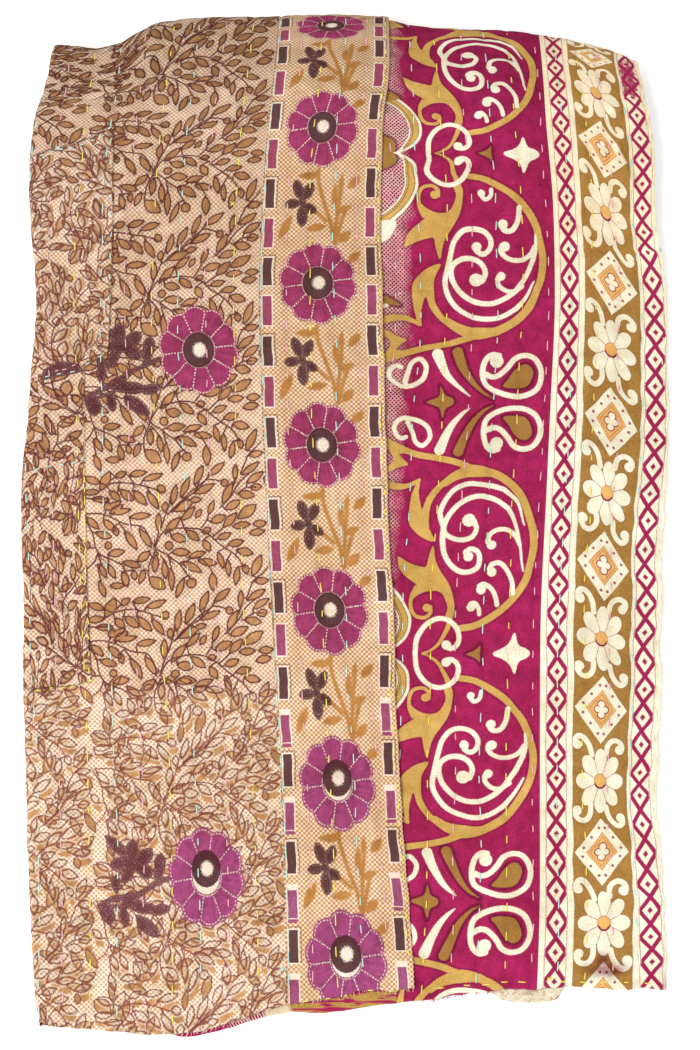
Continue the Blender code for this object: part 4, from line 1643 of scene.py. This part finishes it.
def flower_head(cloth, x, y, slip, worn):
    """A ten-petalled flower with dashed pale lines and a plum ring."""
    paints, place = cloth.paints, (x, y)
    nx, ny = x * (1 / HEAD_WIDTH), y / (worn * 2.5 + HEAD_LENGTH)
    r = reach(nx, ny) * HEAD_RADIUS
    angle = nx.math("ARCTAN2", ny)
    turn = 2 * math.pi / HEAD_PETALS
    part = (angle + 0.12).wrap(turn)
    bulge = part * (2 / turn)
    edge = r - (HEAD_RADIUS - bulge * bulge * 4.6)
    rough = (cloth.noise(3.6, 3.6, 2.0, 46.0, 0.6, place) - 0.5) * (worn * 3.2 + 1.4)
    streaks = cloth.noise(5.0, 30.0, 2.0, 12.0, at=(angle * HEAD_RADIUS, r))
    mottle = cloth.noise(9.0, 12.0, 3.0, 13.0, 0.6, place)
    dye = cloth.lay(worn, paints.petal, paints.worn_petal)
    petals = cloth.shade(dye, streaks * 0.7 + mottle + 0.22 - bulge * bulge * 0.14
                         - cloth.cover(r - 25, 12.0) * 0.10)
    cloth.put(edge + rough - worn, petals, 1.4)
    dash = cloth.cover(abs((r * (1 / DASH_PITCH)).wrap(1.0)) - 0.3, 0.2)
    on_petal = cloth.cover(18 - r, 1.0) * cloth.cover(edge + 1.5, 1.0)
    lines = cloth.cover((turn / 2 - abs(part)) * r - 0.6) * dash * on_petal
    rim_dash = cloth.cover(abs((angle * (HEAD_RADIUS / RIM_DASH_PITCH)).wrap(1.0)) - 0.27, 0.2)
    rim = cloth.cover(abs(edge + 1.5) - 0.6) * rim_dash
    cloth.wash(lines.most(rim) * (0.88 - worn * 0.16), paints.cotton)
    cloth.outline(r - HEAD_DOTS, 0.6, paints.cotton, 0.7, rim_dash * 0.75)
    speckle = cloth.noise(1.8, 1.8, 2.0, 14.0, at=place)
    cloth.put(r - HEAD_HOLE, cloth.shade(paints.cotton, speckle * 0.5 + 0.72), 1.2)
    up = y - slip * 0.95
    dark = cloth.cover(reach(x, up, 1.02, 0.68) - 16.9 + speckle * 0.8, 1.0)
    dark = dark * cloth.cover(3.9 - reach(x - 1.0, up, 1.2, 0.82) + speckle * 6.5, 2.6)
    cloth.wash(dark * 0.97, cloth.shade(paints.plum, speckle * 0.5 + 0.7))


PLUM_DOT_PITCH = 5.4


def plum_marks(cloth, x, y, distance, faded=0.0):
    """Dark leaves with pale dots here and there, and in a row along their edges."""
    spots = cloth.noise(9.0, 9.0, 1.0, 21.0, at=(x, y))
    dots = (x + spots * 9).wave(PLUM_DOT_PITCH) * (y - spots * 7).wave(PLUM_DOT_PITCH)
    pale = cloth.cover(0.7 - dots, 0.2) * spots.ramp(3.0, -1.3)
    row = cloth.cover(abs(distance + 1.7) - 0.5, 0.7) * cloth.cover(0.35 - abs(dots), 0.3)
    grain = cloth.noise(2.4, 2.4, 2.0, 22.0, at=(x, y)) * 0.7 + 0.66
    plum = cloth.shade(cloth.paints.plum, grain * (faded + 1))
    dotted = cloth.lay((pale * 0.55).most(row * 0.22), plum,
                       cloth.dyed(cloth.paints.cotton, FADED_PINK))
    cloth.put(distance, dotted, 1.2, 0.96)


def leaf_finish():
    cloth = Cloth("leaf_print")
    paints, slip = cloth.paints, cloth.value("slip") * (1 / LEAF_SLIP)
    # Towards the far end the print is denser, and the cloth is darkened as painted shade where it
    # turns away from the light.
    far = cloth.along.ramp(0.06, -0.45)
    ground = cloth.lay(1 - slip * 0.75, paints.cotton, cloth.dyed(paints.cotton, AGED_COTTON))
    dotted_ground(cloth, ground, paints.dot, far * 0.20 - slip * 0.04 + 0.37)
    cloth.bleed()
    tone = cloth.noise(17.0, 19.0, 2.0, 8.0) * 0.9 + 0.55
    speck = cloth.noise(2.2, 2.2, 2.0, 18.0) * 0.7 + 0.65
    # The filling is darker towards the far end too, as painted shade.
    leaf = cloth.shade(paints.leaf, tone * speck * (1.06 - slip * 0.02) - far * 0.2)
    leaf = cloth.lay(slip * 0.7, leaf, cloth.dyed(leaf, OLIVE_TINT))
    grown = cloth.value("fill") + cloth.fray * (slip * 2.5 + 1) - slip * 0.3 - far * 0.8
    cloth.wash(grown.ramp(-0.8, 0.5) * 0.95, leaf)
    odd, even, twin = (cloth.value(name) for name in ("leaf_odd", "leaf_even", "leaf_twin"))
    stem, *stems = (abs(cloth.value(name)) for name in ("stem_odd", "stem_even", "stalk"))
    thick = (1 - slip) * 0.24 + 0.58
    lines = cloth.cover(abs(odd).least(abs(even), abs(twin)) - thick, 0.9)
    lines = lines.most(cloth.cover(stem.least(*stems) - thick - 0.12, 0.9))
    faint = cloth.noise(12.0, 12.0, 2.0, 9.0) * 0.7 + 0.66
    cloth.outline(abs(odd).least(abs(even)) - 2.2, 0.6, paints.cotton, 1.0, slip * 0.55)
    cloth.wash(lines * faint.least(1.0), cloth.shade(paints.line, slip * 0.8 + 1.2))
    # Colour has gathered beside the lines. All is darker towards the far end: painted shade, where
    # the cloth turns away from the light.
    halo = cloth.cover(odd.least(even, twin) - 3.0, 5.0) * cloth.noise(24.0, 30.0, 3.0, 19.0, 0.6)
    cloth.light(1.15 - halo * (slip * 0.10 + 0.32) - far * 0.26)
    # Painted shade in the creases along the patches' edges, uneven along them.
    edge = cloth.value("patch")
    patch_edge_shade = cloth.noise(30.0, 30.0, 2.0, 20.0) * 0.9 + 0.15
    cloth.light(1 - cloth.cover(abs(edge - 0.6) - 0.8, 2.4) * patch_edge_shade)
    # Painted shadow in the deep fold beside the lowest patch.
    fold = (1.4 - abs(cloth.along + 6.2) * 0.5).ramp(1.0, 0.0)
    fold = fold * cloth.cover(abs(edge - 0.5) - 0.8, 1.4) * cloth.cover(-208 - cloth.u, 6.0)
    cloth.light(1 - fold * 0.72)
    x, drop = cloth.pair("flower")
    y = (cloth.v - BIG_FLOWERS[0][1]).wrap(FLOWER_STEP) + drop
    plum_marks(cloth, x, y, cloth.value("plum"), slip * 0.3 + 0.36)
    flower_head(cloth, x, y, cloth.value("slip"), cloth.along.ramp(-0.07, -0.2))
    return cloth.woven()


DASH_HALF_WIDTH, DASH_HALF_LENGTH = 5.0, 17.5
DASH_COLUMNS = ((8.3 - FLOWER_BORDER, 14.0), (-12.0, 27.0))     # middle and first dash


def box_distance(x, y):
    return (abs(x) - DASH_HALF_WIDTH).most(abs(y) - DASH_HALF_LENGTH)


def dashes(cloth, middle, first, slip, worn):
    """A column of long dashes, plum and magenta by turns, with pale edges."""
    paints, pitch = cloth.paints, FLOWER_PITCH / 4
    sway = (cloth.noise(90.0, 17.0, 1.0, 45.0) - 0.5) * 2.6
    x = cloth.u + sway - middle
    y = (cloth.v - first).wrap(pitch)
    box = box_distance(x, y)
    is_plum = cloth.cover(abs((cloth.v - first).wrap(pitch * 2)) - pitch / 2, 1.0)
    rubbed = cloth.noise(2.4, 9.0, 3.0, 24.0, 0.7) * 1.3 + 0.32
    dye = cloth.shade(cloth.lay(worn, paints.petal, paints.worn_petal), 1.02)
    tint = cloth.shade(cloth.lay(is_plum, dye, paints.plum), rubbed)
    # The plum dashes have a second, slipped outline.
    slipped = (abs(x - 1.6) - 6.6).most(abs(y - 2.0) - 18.6)
    cloth.outline(slipped, 0.5, paints.plum, 0.7, is_plum * 0.8)
    cloth.put(box - 1.2, paints.cotton, 0.7)
    cloth.put(box_distance(x, y + slip * 0.85 * (1 - is_plum)), tint, 0.7, 0.96)
    cloth.outline(box - 0.6, 0.5, paints.cotton, 0.7, 0.9)


def flower_finish():
    cloth = Cloth("flower_print")
    paints, slip = cloth.paints, cloth.value("slip")
    far, worn = cloth.along.ramp(0.05, -0.3), cloth.along.ramp(-0.07, -0.2)
    net = cloth.shade(cloth.lay(0.6, paints.dot, paints.spray), 1.12)
    dotted_ground(cloth, cloth.dyed(paints.cotton, AGED_BORDER), net, far * 0.1 + 0.57)
    cloth.bleed()
    tone = cloth.noise(20.0, 20.0, 2.0, 8.0) * 0.6 + 0.7
    cloth.put(cloth.value("spray") - 0.3, cloth.shade(paints.spray, tone), 2.2, 0.92)
    plum_marks(cloth, cloth.u, cloth.v, cloth.value("plum"))
    # Painted shade: darker towards the far end, where the cloth turns away from the light.
    cloth.light(1 - far * 0.14)
    flower_head(cloth, cloth.u - FLOWER_X, cloth.v.wrap(FLOWER_PITCH), slip, worn)
    for middle, first in DASH_COLUMNS:
        dashes(cloth, middle, first, slip, worn)
    return cloth.woven()


NET_PITCH = 3.2 * 1.414        # the net lies on the bias


def scroll_finish():
    cloth = Cloth("scroll_print")
    paints, u, v = cloth.paints, cloth.u, cloth.v
    cloth.bleed(1.0)
    mottle = cloth.noise(14.0, 18.0, 4.0, 15.0, 0.65)
    speck = cloth.noise(2.4, 2.4, 2.0, 28.0)
    deep = cloth.shade(paints.magenta, 0.38)
    # Painted shade: the magenta is darker towards the far end, where the cloth turns away from the
    # light.
    far = cloth.along.ramp(0.1, -1.4)
    cloth.base = cloth.shade(paints.magenta, mottle * 1.2 + speck * 0.6 + 0.12 - far * 0.24)
    olive, ochre, cream = (cloth.value(name) for name in ("olive", "ochre", "cream"))
    # The pale net inside the medallions and at the field's left.
    net = cloth.cover(0.76 - (u + v).wave(NET_PITCH).most((u - v).wave(NET_PITCH)), 0.3)
    left = (u + cloth.noise(11.0, 17.0, 2.0, 27.0) * 30).ramp(-1 / 16, -143 / 16)
    net_edge = cloth.value("medallion_net")
    where = cloth.cover(net_edge, 1.0).most(left * 0.9)
    cloth.wash(net * where * 0.9, cloth.shade(paints.cream, 0.9))
    cloth.put(olive - 3.2, deep, 2.0, 0.75)
    cloth.put(ochre - 2.4, deep, 2.6, 0.4)
    outer = cloth.value("medallion") * -1
    cream_edge = (outer - 3.3).least(net_edge - 1.8)
    band = cloth.lay(cloth.cover(cream_edge * -1, 0.7), paints.cream, paints.ochre)
    band = cloth.lay(cloth.cover(abs(cream_edge - 0.3) - 0.4, 0.6) * 0.8, band, deep)
    band = cloth.lay(cloth.cover(abs(net_edge - 4.2) - 0.45, 0.6) * 0.7, band, deep)
    cloth.put(outer.least(net_edge) * -1, band)
    cloth.put(olive, paints.olive, share=0.97)
    cloth.put(ochre, cloth.shade(paints.ochre, mottle * 0.45 + 0.78), share=0.98)
    cloth.put(cream - 0.25, paints.cream)
    return cloth.woven()


def diamond(x, y, half_width, half_length, scale):
    """Distance to a diamond's edge."""
    return (x * (1 / half_width) + y * (1 / half_length) - 1) * scale


LATTICES = ((17.7, 10.6), (115.0, 11.0))        # middle and half width
RAIL_MIDDLE, RAIL_HALF_WIDTH = 67.5, 31.5       # the brown band between the lattices


def lattice(cloth, place, middle, half_width):
    """Crossing magenta lines with a dotted diamond between each pair of crossings."""
    x, y = abs(cloth.u - middle), abs(place.wrap(LATTICE_PITCH))
    climb = x - (1 - y * (2 / LATTICE_PITCH)) * half_width
    spot = diamond(x, y, 3.1, 3.6, 1.6)
    red = cloth.cover(abs(climb) * 0.8 - 2.25, 0.7).most(cloth.cover(spot))
    red = red * cloth.cover(x - half_width, 0.6)
    side = cloth.cover(abs(x - half_width - 0.5) - 0.35, 0.6) * 0.85
    cloth.wash(red.most(side), cloth.paints.magenta)


DAISY_HALF_WIDTH, DAISY_HALF_LENGTH, DAISY_RADIUS = 27.4, 35.0, 32
LOZENGE = 29.6, 37.2, 23       # half width, half length, and what turns shares into millimetres
LOZENGE_EYE = 16.6, 21.0, 13
LOZENGE_DOTS = ((3.4, 26.2), (11.8, 15.8), (20.2, 5.0))


def daisy(cloth, x, y, cream, brown, rust):
    """A daisy with its curls: petals round a yellow eye, with a deep edge below it."""
    paints = cloth.paints
    nx = x * (DAISY_RADIUS / DAISY_HALF_WIDTH)
    ny = y * (DAISY_RADIUS / DAISY_HALF_LENGTH)
    r = reach(nx, ny)
    turn = 2 * math.pi / bpy.context.scene.quilt_sizes.daisy_petals
    part = nx.math("ARCTAN2", ny).wrap(turn)
    lie, wide = part.math("COSINE") * r - 20.5, part.math("SINE") * r
    petal = (reach(lie, wide, 1 / 134, 1 / 62) * 9 - 9).least(r - 14)
    white = petal.least(cloth.value("curl"))
    cloth.put(white - 0.7, brown, share=0.7)
    cloth.put(white, cream, 0.7)
    divider = cloth.cover((turn / 2 - abs(part)) * r - 0.36, 0.5)
    cloth.wash(divider * cloth.cover(petal, 1.0) * 0.85, paints.magenta)
    cloth.outline(white - 0.2, 0.3, rust, 0.5, cloth.cover(24 - r, 6.0) * 0.45)
    eye = reach(x, y, 1.1, 0.8) - 7.4
    cloth.put(eye, paints.apricot, 0.6)
    cloth.outline(eye, 0.35, paints.magenta, 0.6, 0.6)
    cloth.outline(eye + 0.8, 0.9, cloth.shade(paints.magenta, 0.7), 0.6,
                  cloth.cover(y + 2.0, 3.0))


def lozenge(cloth, x, y, cream, brown, rust):
    """A dotted lozenge with a four-petalled flower in it."""
    paints = cloth.paints
    x, y = abs(x), abs(y)
    outer = diamond(x, y, *LOZENGE)
    cloth.put(outer - 0.6, brown, share=0.6)
    cloth.put(outer, cream, 0.7)
    dot, *dots = (reach(x - dot_x, y - dot_y) - 1.6 for dot_x, dot_y in LOZENGE_DOTS)
    cloth.put(dot.least(*dots), paints.magenta, 0.7, 0.9)
    inner = diamond(x, y, *LOZENGE_EYE)
    cloth.put(inner, paints.apricot, 0.7)
    cloth.outline(abs(inner + 1.4) - 1.3, 0.42, rust, 0.5, 0.8)
    petals = (reach(x - 4.2, y) - 3.2).least(reach(x, y - 5.8) - 3.6, reach(x, y) - 3.1)
    cloth.put(petals - 1.3, cloth.shade(paints.magenta, 0.8), 0.6, 0.85)
    cloth.put(petals, cream, 0.6)


def daisy_finish():
    cloth = Cloth("daisy_print")
    paints, u, v = cloth.paints, cloth.u, cloth.v
    cloth.bleed(0.9)
    far = cloth.along.ramp(0.12, -0.9)
    pale = cloth.shade(paints.cream, cloth.noise(30.0, 40.0, 2.0, 5.0) * 0.10 + 0.98)
    cloth.base = cloth.dyed(pale, cloth.lay(far, NO_TINT, AGED_CREAM))
    for place, (middle, half_width) in zip(cloth.pair("lattices"), LATTICES):
        lattice(cloth, place, middle, half_width)
    near = cloth.along.ramp(-0.4, -6.6)
    rail = abs(u + near * 1.5 - RAIL_MIDDLE) - RAIL_HALF_WIDTH + near * 1.5
    grain = cloth.noise(3.0, 3.0, 3.0, 16.0, 0.7)
    mottle = cloth.noise(22.0, 30.0, 2.0, 17.0)
    brown = cloth.shade(paints.olive, 0.45)
    cloth.put(rail, cloth.shade(paints.olive, grain + mottle * 0.6 + 0.24))
    cloth.outline(rail, 0.35, brown, 0.6, 0.6)
    cream = cloth.lay(far, paints.cream, cloth.dyed(paints.cream, AGED_CREAM))
    rust = cloth.lay(0.6, paints.ochre, paints.magenta)
    x = u - DAISY_MIDDLE
    daisy(cloth, x, v.wrap(DAISY_PITCH), cream, brown, rust)
    lozenge(cloth, x, (v - DAISY_PITCH / 2).wrap(DAISY_PITCH), cream, brown, rust)
    spots = cloth.noise(6.0, 6.0, 3.0, 29.0, 0.6)
    ran = (cloth.value("stain") * (spots + 0.5)).ramp(1.4, -0.22)
    cloth.wash(ran * 0.9, cloth.dyed(cloth.base, STAIN_TINT))
    smear = cloth.value("smear") * (spots * 5.0 - 1.1)
    cloth.wash(smear.ramp(2.0, -0.9) * 0.92, paints.magenta)
    # Painted light: the band grows lighter towards the far end, against the shade that falls there.
    cloth.light(cloth.along.ramp(0.02, 0.0) * 0.3 + 1.0)
    return cloth.woven(coarse=0.36, blotches=0.16)


def inside_leaf_finish():
    """The leaf cloth between the layers, where only its edges show."""
    cloth = Cloth("inside_leaf_print")
    paints, u, v = cloth.paints, cloth.u, cloth.v
    dotted_ground(cloth, paints.cotton, paints.dot, 0.42)
    sway = cloth.noise(60.0, 60.0, 1.0, 31.0) * 60
    cells = cloth.node("ShaderNodeTexVoronoi", voronoi_dimensions="2D")
    cells.inputs["Scale"].default_value = 1.0
    cloth.feed(cells.inputs["Vector"],
               cloth.joined((u + sway) * (1 / 11), (v + u * 0.6) * (1 / 21)))
    away = Field(cloth, cells.outputs["Distance"])
    cloth.put(away - 0.34, paints.leaf, 0.1, 0.9)
    cloth.outline(away - 0.36, 0.04, paints.line, 0.05, 0.8)
    # Washed out at the far layer's hem.
    fleck = cloth.noise(5.0, 4.0, 3.0, 35.0, 0.7)
    pale = cloth.lay(fleck.ramp(4.0, -1.9), paints.cream, paints.leaf)
    cloth.wash(v.ramp(1 / 14, -1640 / 14) * 0.85, pale)
    return cloth.woven()


def inside_scroll_finish():
    """The scroll cloth between the layers: magenta with plain ochre and cream figures."""
    cloth = Cloth("inside_scroll_print")
    paints, u, v = cloth.paints, cloth.u, cloth.v
    mottle = cloth.noise(26.0, 34.0, 3.0, 15.0)
    magenta = cloth.base = cloth.shade(paints.magenta, mottle * 0.5 + 0.75)
    ring = reach((u - 60).wrap(150.0), v.wrap(284.0), 1.0, 0.4)
    cloth.outline(ring - 52, 4, paints.ochre)
    cloth.outline(ring - 36, 2.4, paints.cream)
    cloth.put(ring - 16, paints.olive)
    # What peeps out under the flap's near hem.
    hem = cloth.cover(v + 500, 4.0)
    place = u + cloth.noise(30.0, 9.0, 2.0, 33.0) * 16 - 8
    weave = cloth.cover(0.45 - (u + v * 0.4).wave(3.4), 0.5)
    cloth.put(place - 405, magenta, 4.0, hem)
    cloth.outline(place - 214, 20, paints.cream, 8.0, weave * hem * 0.7)
    fleck = cloth.noise(26.0, 5.0, 2.0, 34.0)
    streak = cloth.noise(70.0, 4.0, 1.0, 36.0)
    printed = hem * (1 - fleck.most(streak).ramp(12.0, -6.3))
    cloth.outline(place - 330, 71, cloth.lay(fleck, paints.olive, paints.ochre), 5.0, printed)
    cloth.outline(place - 247, 13, cloth.lay(0.3, paints.cream, paints.ochre), 6.0, hem * 0.9)
    return cloth.woven()


def thread_finish(name, tint):
    """Twisted cotton thread."""
    finish = Finish(name, roughness=0.7)
    coordinates = finish.node("ShaderNodeTexCoord")
    noise = finish.node("ShaderNodeTexNoise")
    noise.inputs["Scale"].default_value = 900.0
    finish.feed(noise.inputs["Vector"], coordinates.outputs["Object"])
    tone = Field(finish, noise.outputs[0]) * 0.5 + 0.75
    finish.surface.inputs["Sheen Weight"].default_value = 0.1
    return finish.finished(finish.shade(tint, tone), tone, 0.15)


# Operators: one for each kind of piece.

def mesh_step(name):
    return getattr(bpy.context.scene.quilt_sizes, name) / MM


def lay_pair(name, kind, side, material, flat, spans, strips=3, fineness=1.0):
    """The same cloth on the upper half and on the half below."""
    width, above, below = flat
    for place, step, stretches, relief, length in (
            ("top", mesh_step("fine_step") * fineness, UPPER, upper_relief, above),
            ("below", mesh_step("under_step"), (BACK,), lower_relief, below)):
        section = Section(*(Span(*span[:3], step, *span[3:]) for span in spans))
        lay_cloth(f"{name}_{place}", kind, section, step, stretches, side, relief, material,
                  strips)


class QUILT_OT_leaf_cloth(bpy.types.Operator):
    """The leaf cloth of the flap, from the left fold to the seam, above and below."""
    bl_idname = "quilt.leaf_cloth"
    bl_label = "Leaf cloth"

    def execute(self, context):
        lay_pair("leaf_cloth", "leaf", LEAF_SIDE, leaf_finish(), (0.285, 1.20, 1.09),
                 ((BEND, "fold axis", "fold axis"), (FLAP, "fold axis", "seam")), strips=2)
        return {"FINISHED"}


class QUILT_OT_flower_border(bpy.types.Operator):
    """The flower border along the flap's hem, above and below."""
    bl_idname = "quilt.flower_border"
    bl_label = "Flower border"

    def execute(self, context):
        lay_pair("flower_border", "flower", LEAF_SIDE, flower_finish(), (0.135, 1.20, 1.08),
                 ((FLAP, "seam", "flap hem", True),), fineness=0.92)
        return {"FINISHED"}


class QUILT_OT_scroll_cloth(bpy.types.Operator):
    """The magenta scroll cloth between the flap and the daisy band, above and below."""
    bl_idname = "quilt.scroll_cloth"
    bl_label = "Scroll cloth"

    def execute(self, context):
        lay_pair("scroll_cloth", "scroll", MAGENTA_SIDE, scroll_finish(), (0.195, 1.19, 1.08),
                 ((MAIN, "tuck", "border"),))
        return {"FINISHED"}


class QUILT_OT_daisy_band(bpy.types.Operator):
    """The daisy band along the right hem, above and below."""
    bl_idname = "quilt.daisy_band"
    bl_label = "Daisy band"

    def execute(self, context):
        lay_pair("daisy_band", "daisy", MAGENTA_SIDE, daisy_finish(), (0.132, 1.17, 1.06),
                 ((MAIN, "border", "right hem", True),), fineness=0.9)
        return {"FINISHED"}


class QUILT_OT_inner_faces(bpy.types.Operator):
    """The faces that lie between the layers, and show at the edges and in the far loop."""
    bl_idname = "quilt.inner_faces"
    bl_label = "Inner faces"

    def execute(self, context):
        step = mesh_step("inner_step")
        section = Section(Span(MAIN, "fold axis", "right hem", step, hemmed=True))
        lay_cloth("leaf_cloth_inside", "leaf inside", section, step, ALL, LEAF_SIDE,
                  inner_relief, inside_leaf_finish(), 3)
        section = Section(Span(MAIN, "tuck", "fold axis", step),
                          Span(BEND, "fold axis", "fold axis", step),
                          Span(FLAP, "fold axis", "flap hem", step, hemmed=True))
        lay_cloth("scroll_cloth_inside", "scroll inside", section, step, ALL, MAGENTA_SIDE,
                  inner_relief, inside_scroll_finish(), 3)
        return {"FINISHED"}


class QUILT_OT_running_stitch(bpy.types.Operator):
    """The running stitch in yellow, aqua and pink thread, on every face that shows."""
    bl_idname = "quilt.running_stitch"
    bl_label = "Running stitch"

    def execute(self, context):
        sizes = context.scene.quilt_sizes
        threads = Threads()
        for face in FACES.values():
            if face.kind in STITCH_ROWS:
                sew_rows(threads, face, sizes)
        sew_edges(threads, sizes)
        for tint in ("yellow", "aqua", "pink", "cream"):
            threads.add_piece(tint, f"running_stitch_{tint}", f"{tint}_thread")
        return {"FINISHED"}


class QUILT_OT_loose_threads(bpy.types.Operator):
    """Frayed ends of the weave along the near hems."""
    bl_idname = "quilt.loose_threads"
    bl_label = "Loose threads"

    def execute(self, context):
        threads = Threads()
        fray_hems(threads)
        for tint in ("cotton", "magenta", "cream"):
            threads.add_piece(tint, f"frayed_{tint}", f"frayed_{tint}")
        return {"FINISHED"}


# The stage.

FLOOR_SIZE = 6.0
FLOOR_DROP = 0.0004        # the floor lies just below the cloth
FLOOR_PAINT = (0.93, 0.93, 0.93, 1.0)
FLOOR_GLOW = 0.36          # a softly lit table, so that shadows on it stay faint
ROOM_LIGHT = 0.60
LAMPS = (                  # name, place, width and power, all turned to the quilt
    ("window", (-1.5, -0.9, 2.5), 1.5, 80.0),
    ("fill", (1.8, -1.6, 2.2), 2.2, 14.0))
CAMERA_TILT = math.radians(15.0)
CAMERA_DISTANCE = 3.2
CAMERA_TARGET = (0.003, -0.021, 0.012)
FOCAL_PIXELS = 2908.8
IMAGE_HEIGHT = 1050
SENSOR_HEIGHT = 36.0


def add_floor(scene):
    grid = bmesh.new()
    bmesh.ops.create_grid(grid, x_segments=1, y_segments=1, size=FLOOR_SIZE)
    bmesh.ops.translate(grid, verts=grid.verts[:], vec=(0.0, 0.0, -FLOOR_DROP))
    mesh = bpy.data.meshes.new("floor")
    grid.to_mesh(mesh)
    grid.free()
    floor = bpy.data.objects.new("floor", mesh)
    scene.collection.objects.link(floor)
    finish = Finish("floor_paint", roughness=0.9)
    finish.surface.inputs["Base Color"].default_value = FLOOR_PAINT
    finish.surface.inputs["Emission Color"].default_value = (1, 1, 1, 1)
    finish.surface.inputs["Emission Strength"].default_value = FLOOR_GLOW
    mesh.materials.append(finish.material)


def add_lights(scene):
    world = bpy.data.worlds.new("soft room")
    world.use_nodes = True
    background = world.node_tree.nodes["Background"]
    background.inputs["Color"].default_value = (1, 1, 1, 1)
    background.inputs["Strength"].default_value = ROOM_LIGHT
    scene.world = world
    for name, place, width, power in LAMPS:
        data = bpy.data.lights.new(name, "AREA")
        data.shape, data.size, data.energy = "SQUARE", width, power
        lamp = bpy.data.objects.new(name, data)
        lamp.location = place
        lamp.rotation_euler = (-Vector(place)).to_track_quat("-Z", "Y").to_euler()
        scene.collection.objects.link(lamp)


def add_camera(scene):
    data = bpy.data.cameras.new("camera")
    data.sensor_fit = "VERTICAL"
    data.sensor_height = SENSOR_HEIGHT
    data.lens = FOCAL_PIXELS / IMAGE_HEIGHT * SENSOR_HEIGHT
    camera = bpy.data.objects.new("camera", data)
    x, y, z = CAMERA_TARGET
    camera.location = (x, y - CAMERA_DISTANCE * math.sin(CAMERA_TILT),
                       z + CAMERA_DISTANCE * math.cos(CAMERA_TILT))
    camera.rotation_euler = (CAMERA_TILT, 0.0, 0.0)
    scene.collection.objects.link(camera)
    scene.camera = camera


class QUILT_OT_stage(bpy.types.Operator):
    """A pale floor, soft studio light and the camera."""
    bl_idname = "quilt.stage"
    bl_label = "Stage"

    def execute(self, context):
        add_floor(context.scene)
        add_lights(context.scene)
        add_camera(context.scene)
        context.scene.view_settings.view_transform = "Standard"
        return {"FINISHED"}


class QUILT_PT_panel(bpy.types.Panel):
    """Sizes, colours and pieces of the quilt."""
    bl_idname = "QUILT_PT_panel"
    bl_label = "Kantha quilt"
    bl_space_type = "VIEW_3D"
    bl_region_type = "UI"
    bl_category = "Quilt"

    def draw(self, context):
        for group in (context.scene.quilt_sizes, context.scene.quilt_colours):
            box = self.layout.box()
            for name in group.bl_rna.properties.keys():
                if name not in ("rna_type", "name"):
                    box.prop(group, name)
        for operator in OPERATORS:
            self.layout.operator(operator.bl_idname)


OPERATORS = (QUILT_OT_leaf_cloth, QUILT_OT_flower_border, QUILT_OT_scroll_cloth,
             QUILT_OT_daisy_band, QUILT_OT_inner_faces, QUILT_OT_running_stitch,
             QUILT_OT_loose_threads, QUILT_OT_stage)
CLASSES = (QuiltSizes, QuiltColours, *OPERATORS, QUILT_PT_panel)


def register():
    for item in CLASSES:
        bpy.utils.register_class(item)
    bpy.types.Scene.quilt_sizes = PointerProperty(type=QuiltSizes)
    bpy.types.Scene.quilt_colours = PointerProperty(type=QuiltColours)


def unregister():
    del bpy.types.Scene.quilt_colours
    del bpy.types.Scene.quilt_sizes
    for item in reversed(CLASSES):
        bpy.utils.unregister_class(item)


def main():
    register()
    bpy.ops.quilt.leaf_cloth()
    bpy.ops.quilt.flower_border()
    bpy.ops.quilt.scroll_cloth()
    bpy.ops.quilt.daisy_band()
    bpy.ops.quilt.inner_faces()
    bpy.ops.quilt.running_stitch()
    bpy.ops.quilt.loose_threads()
    bpy.ops.quilt.stage()
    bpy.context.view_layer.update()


if __name__ == "__main__":
    main()
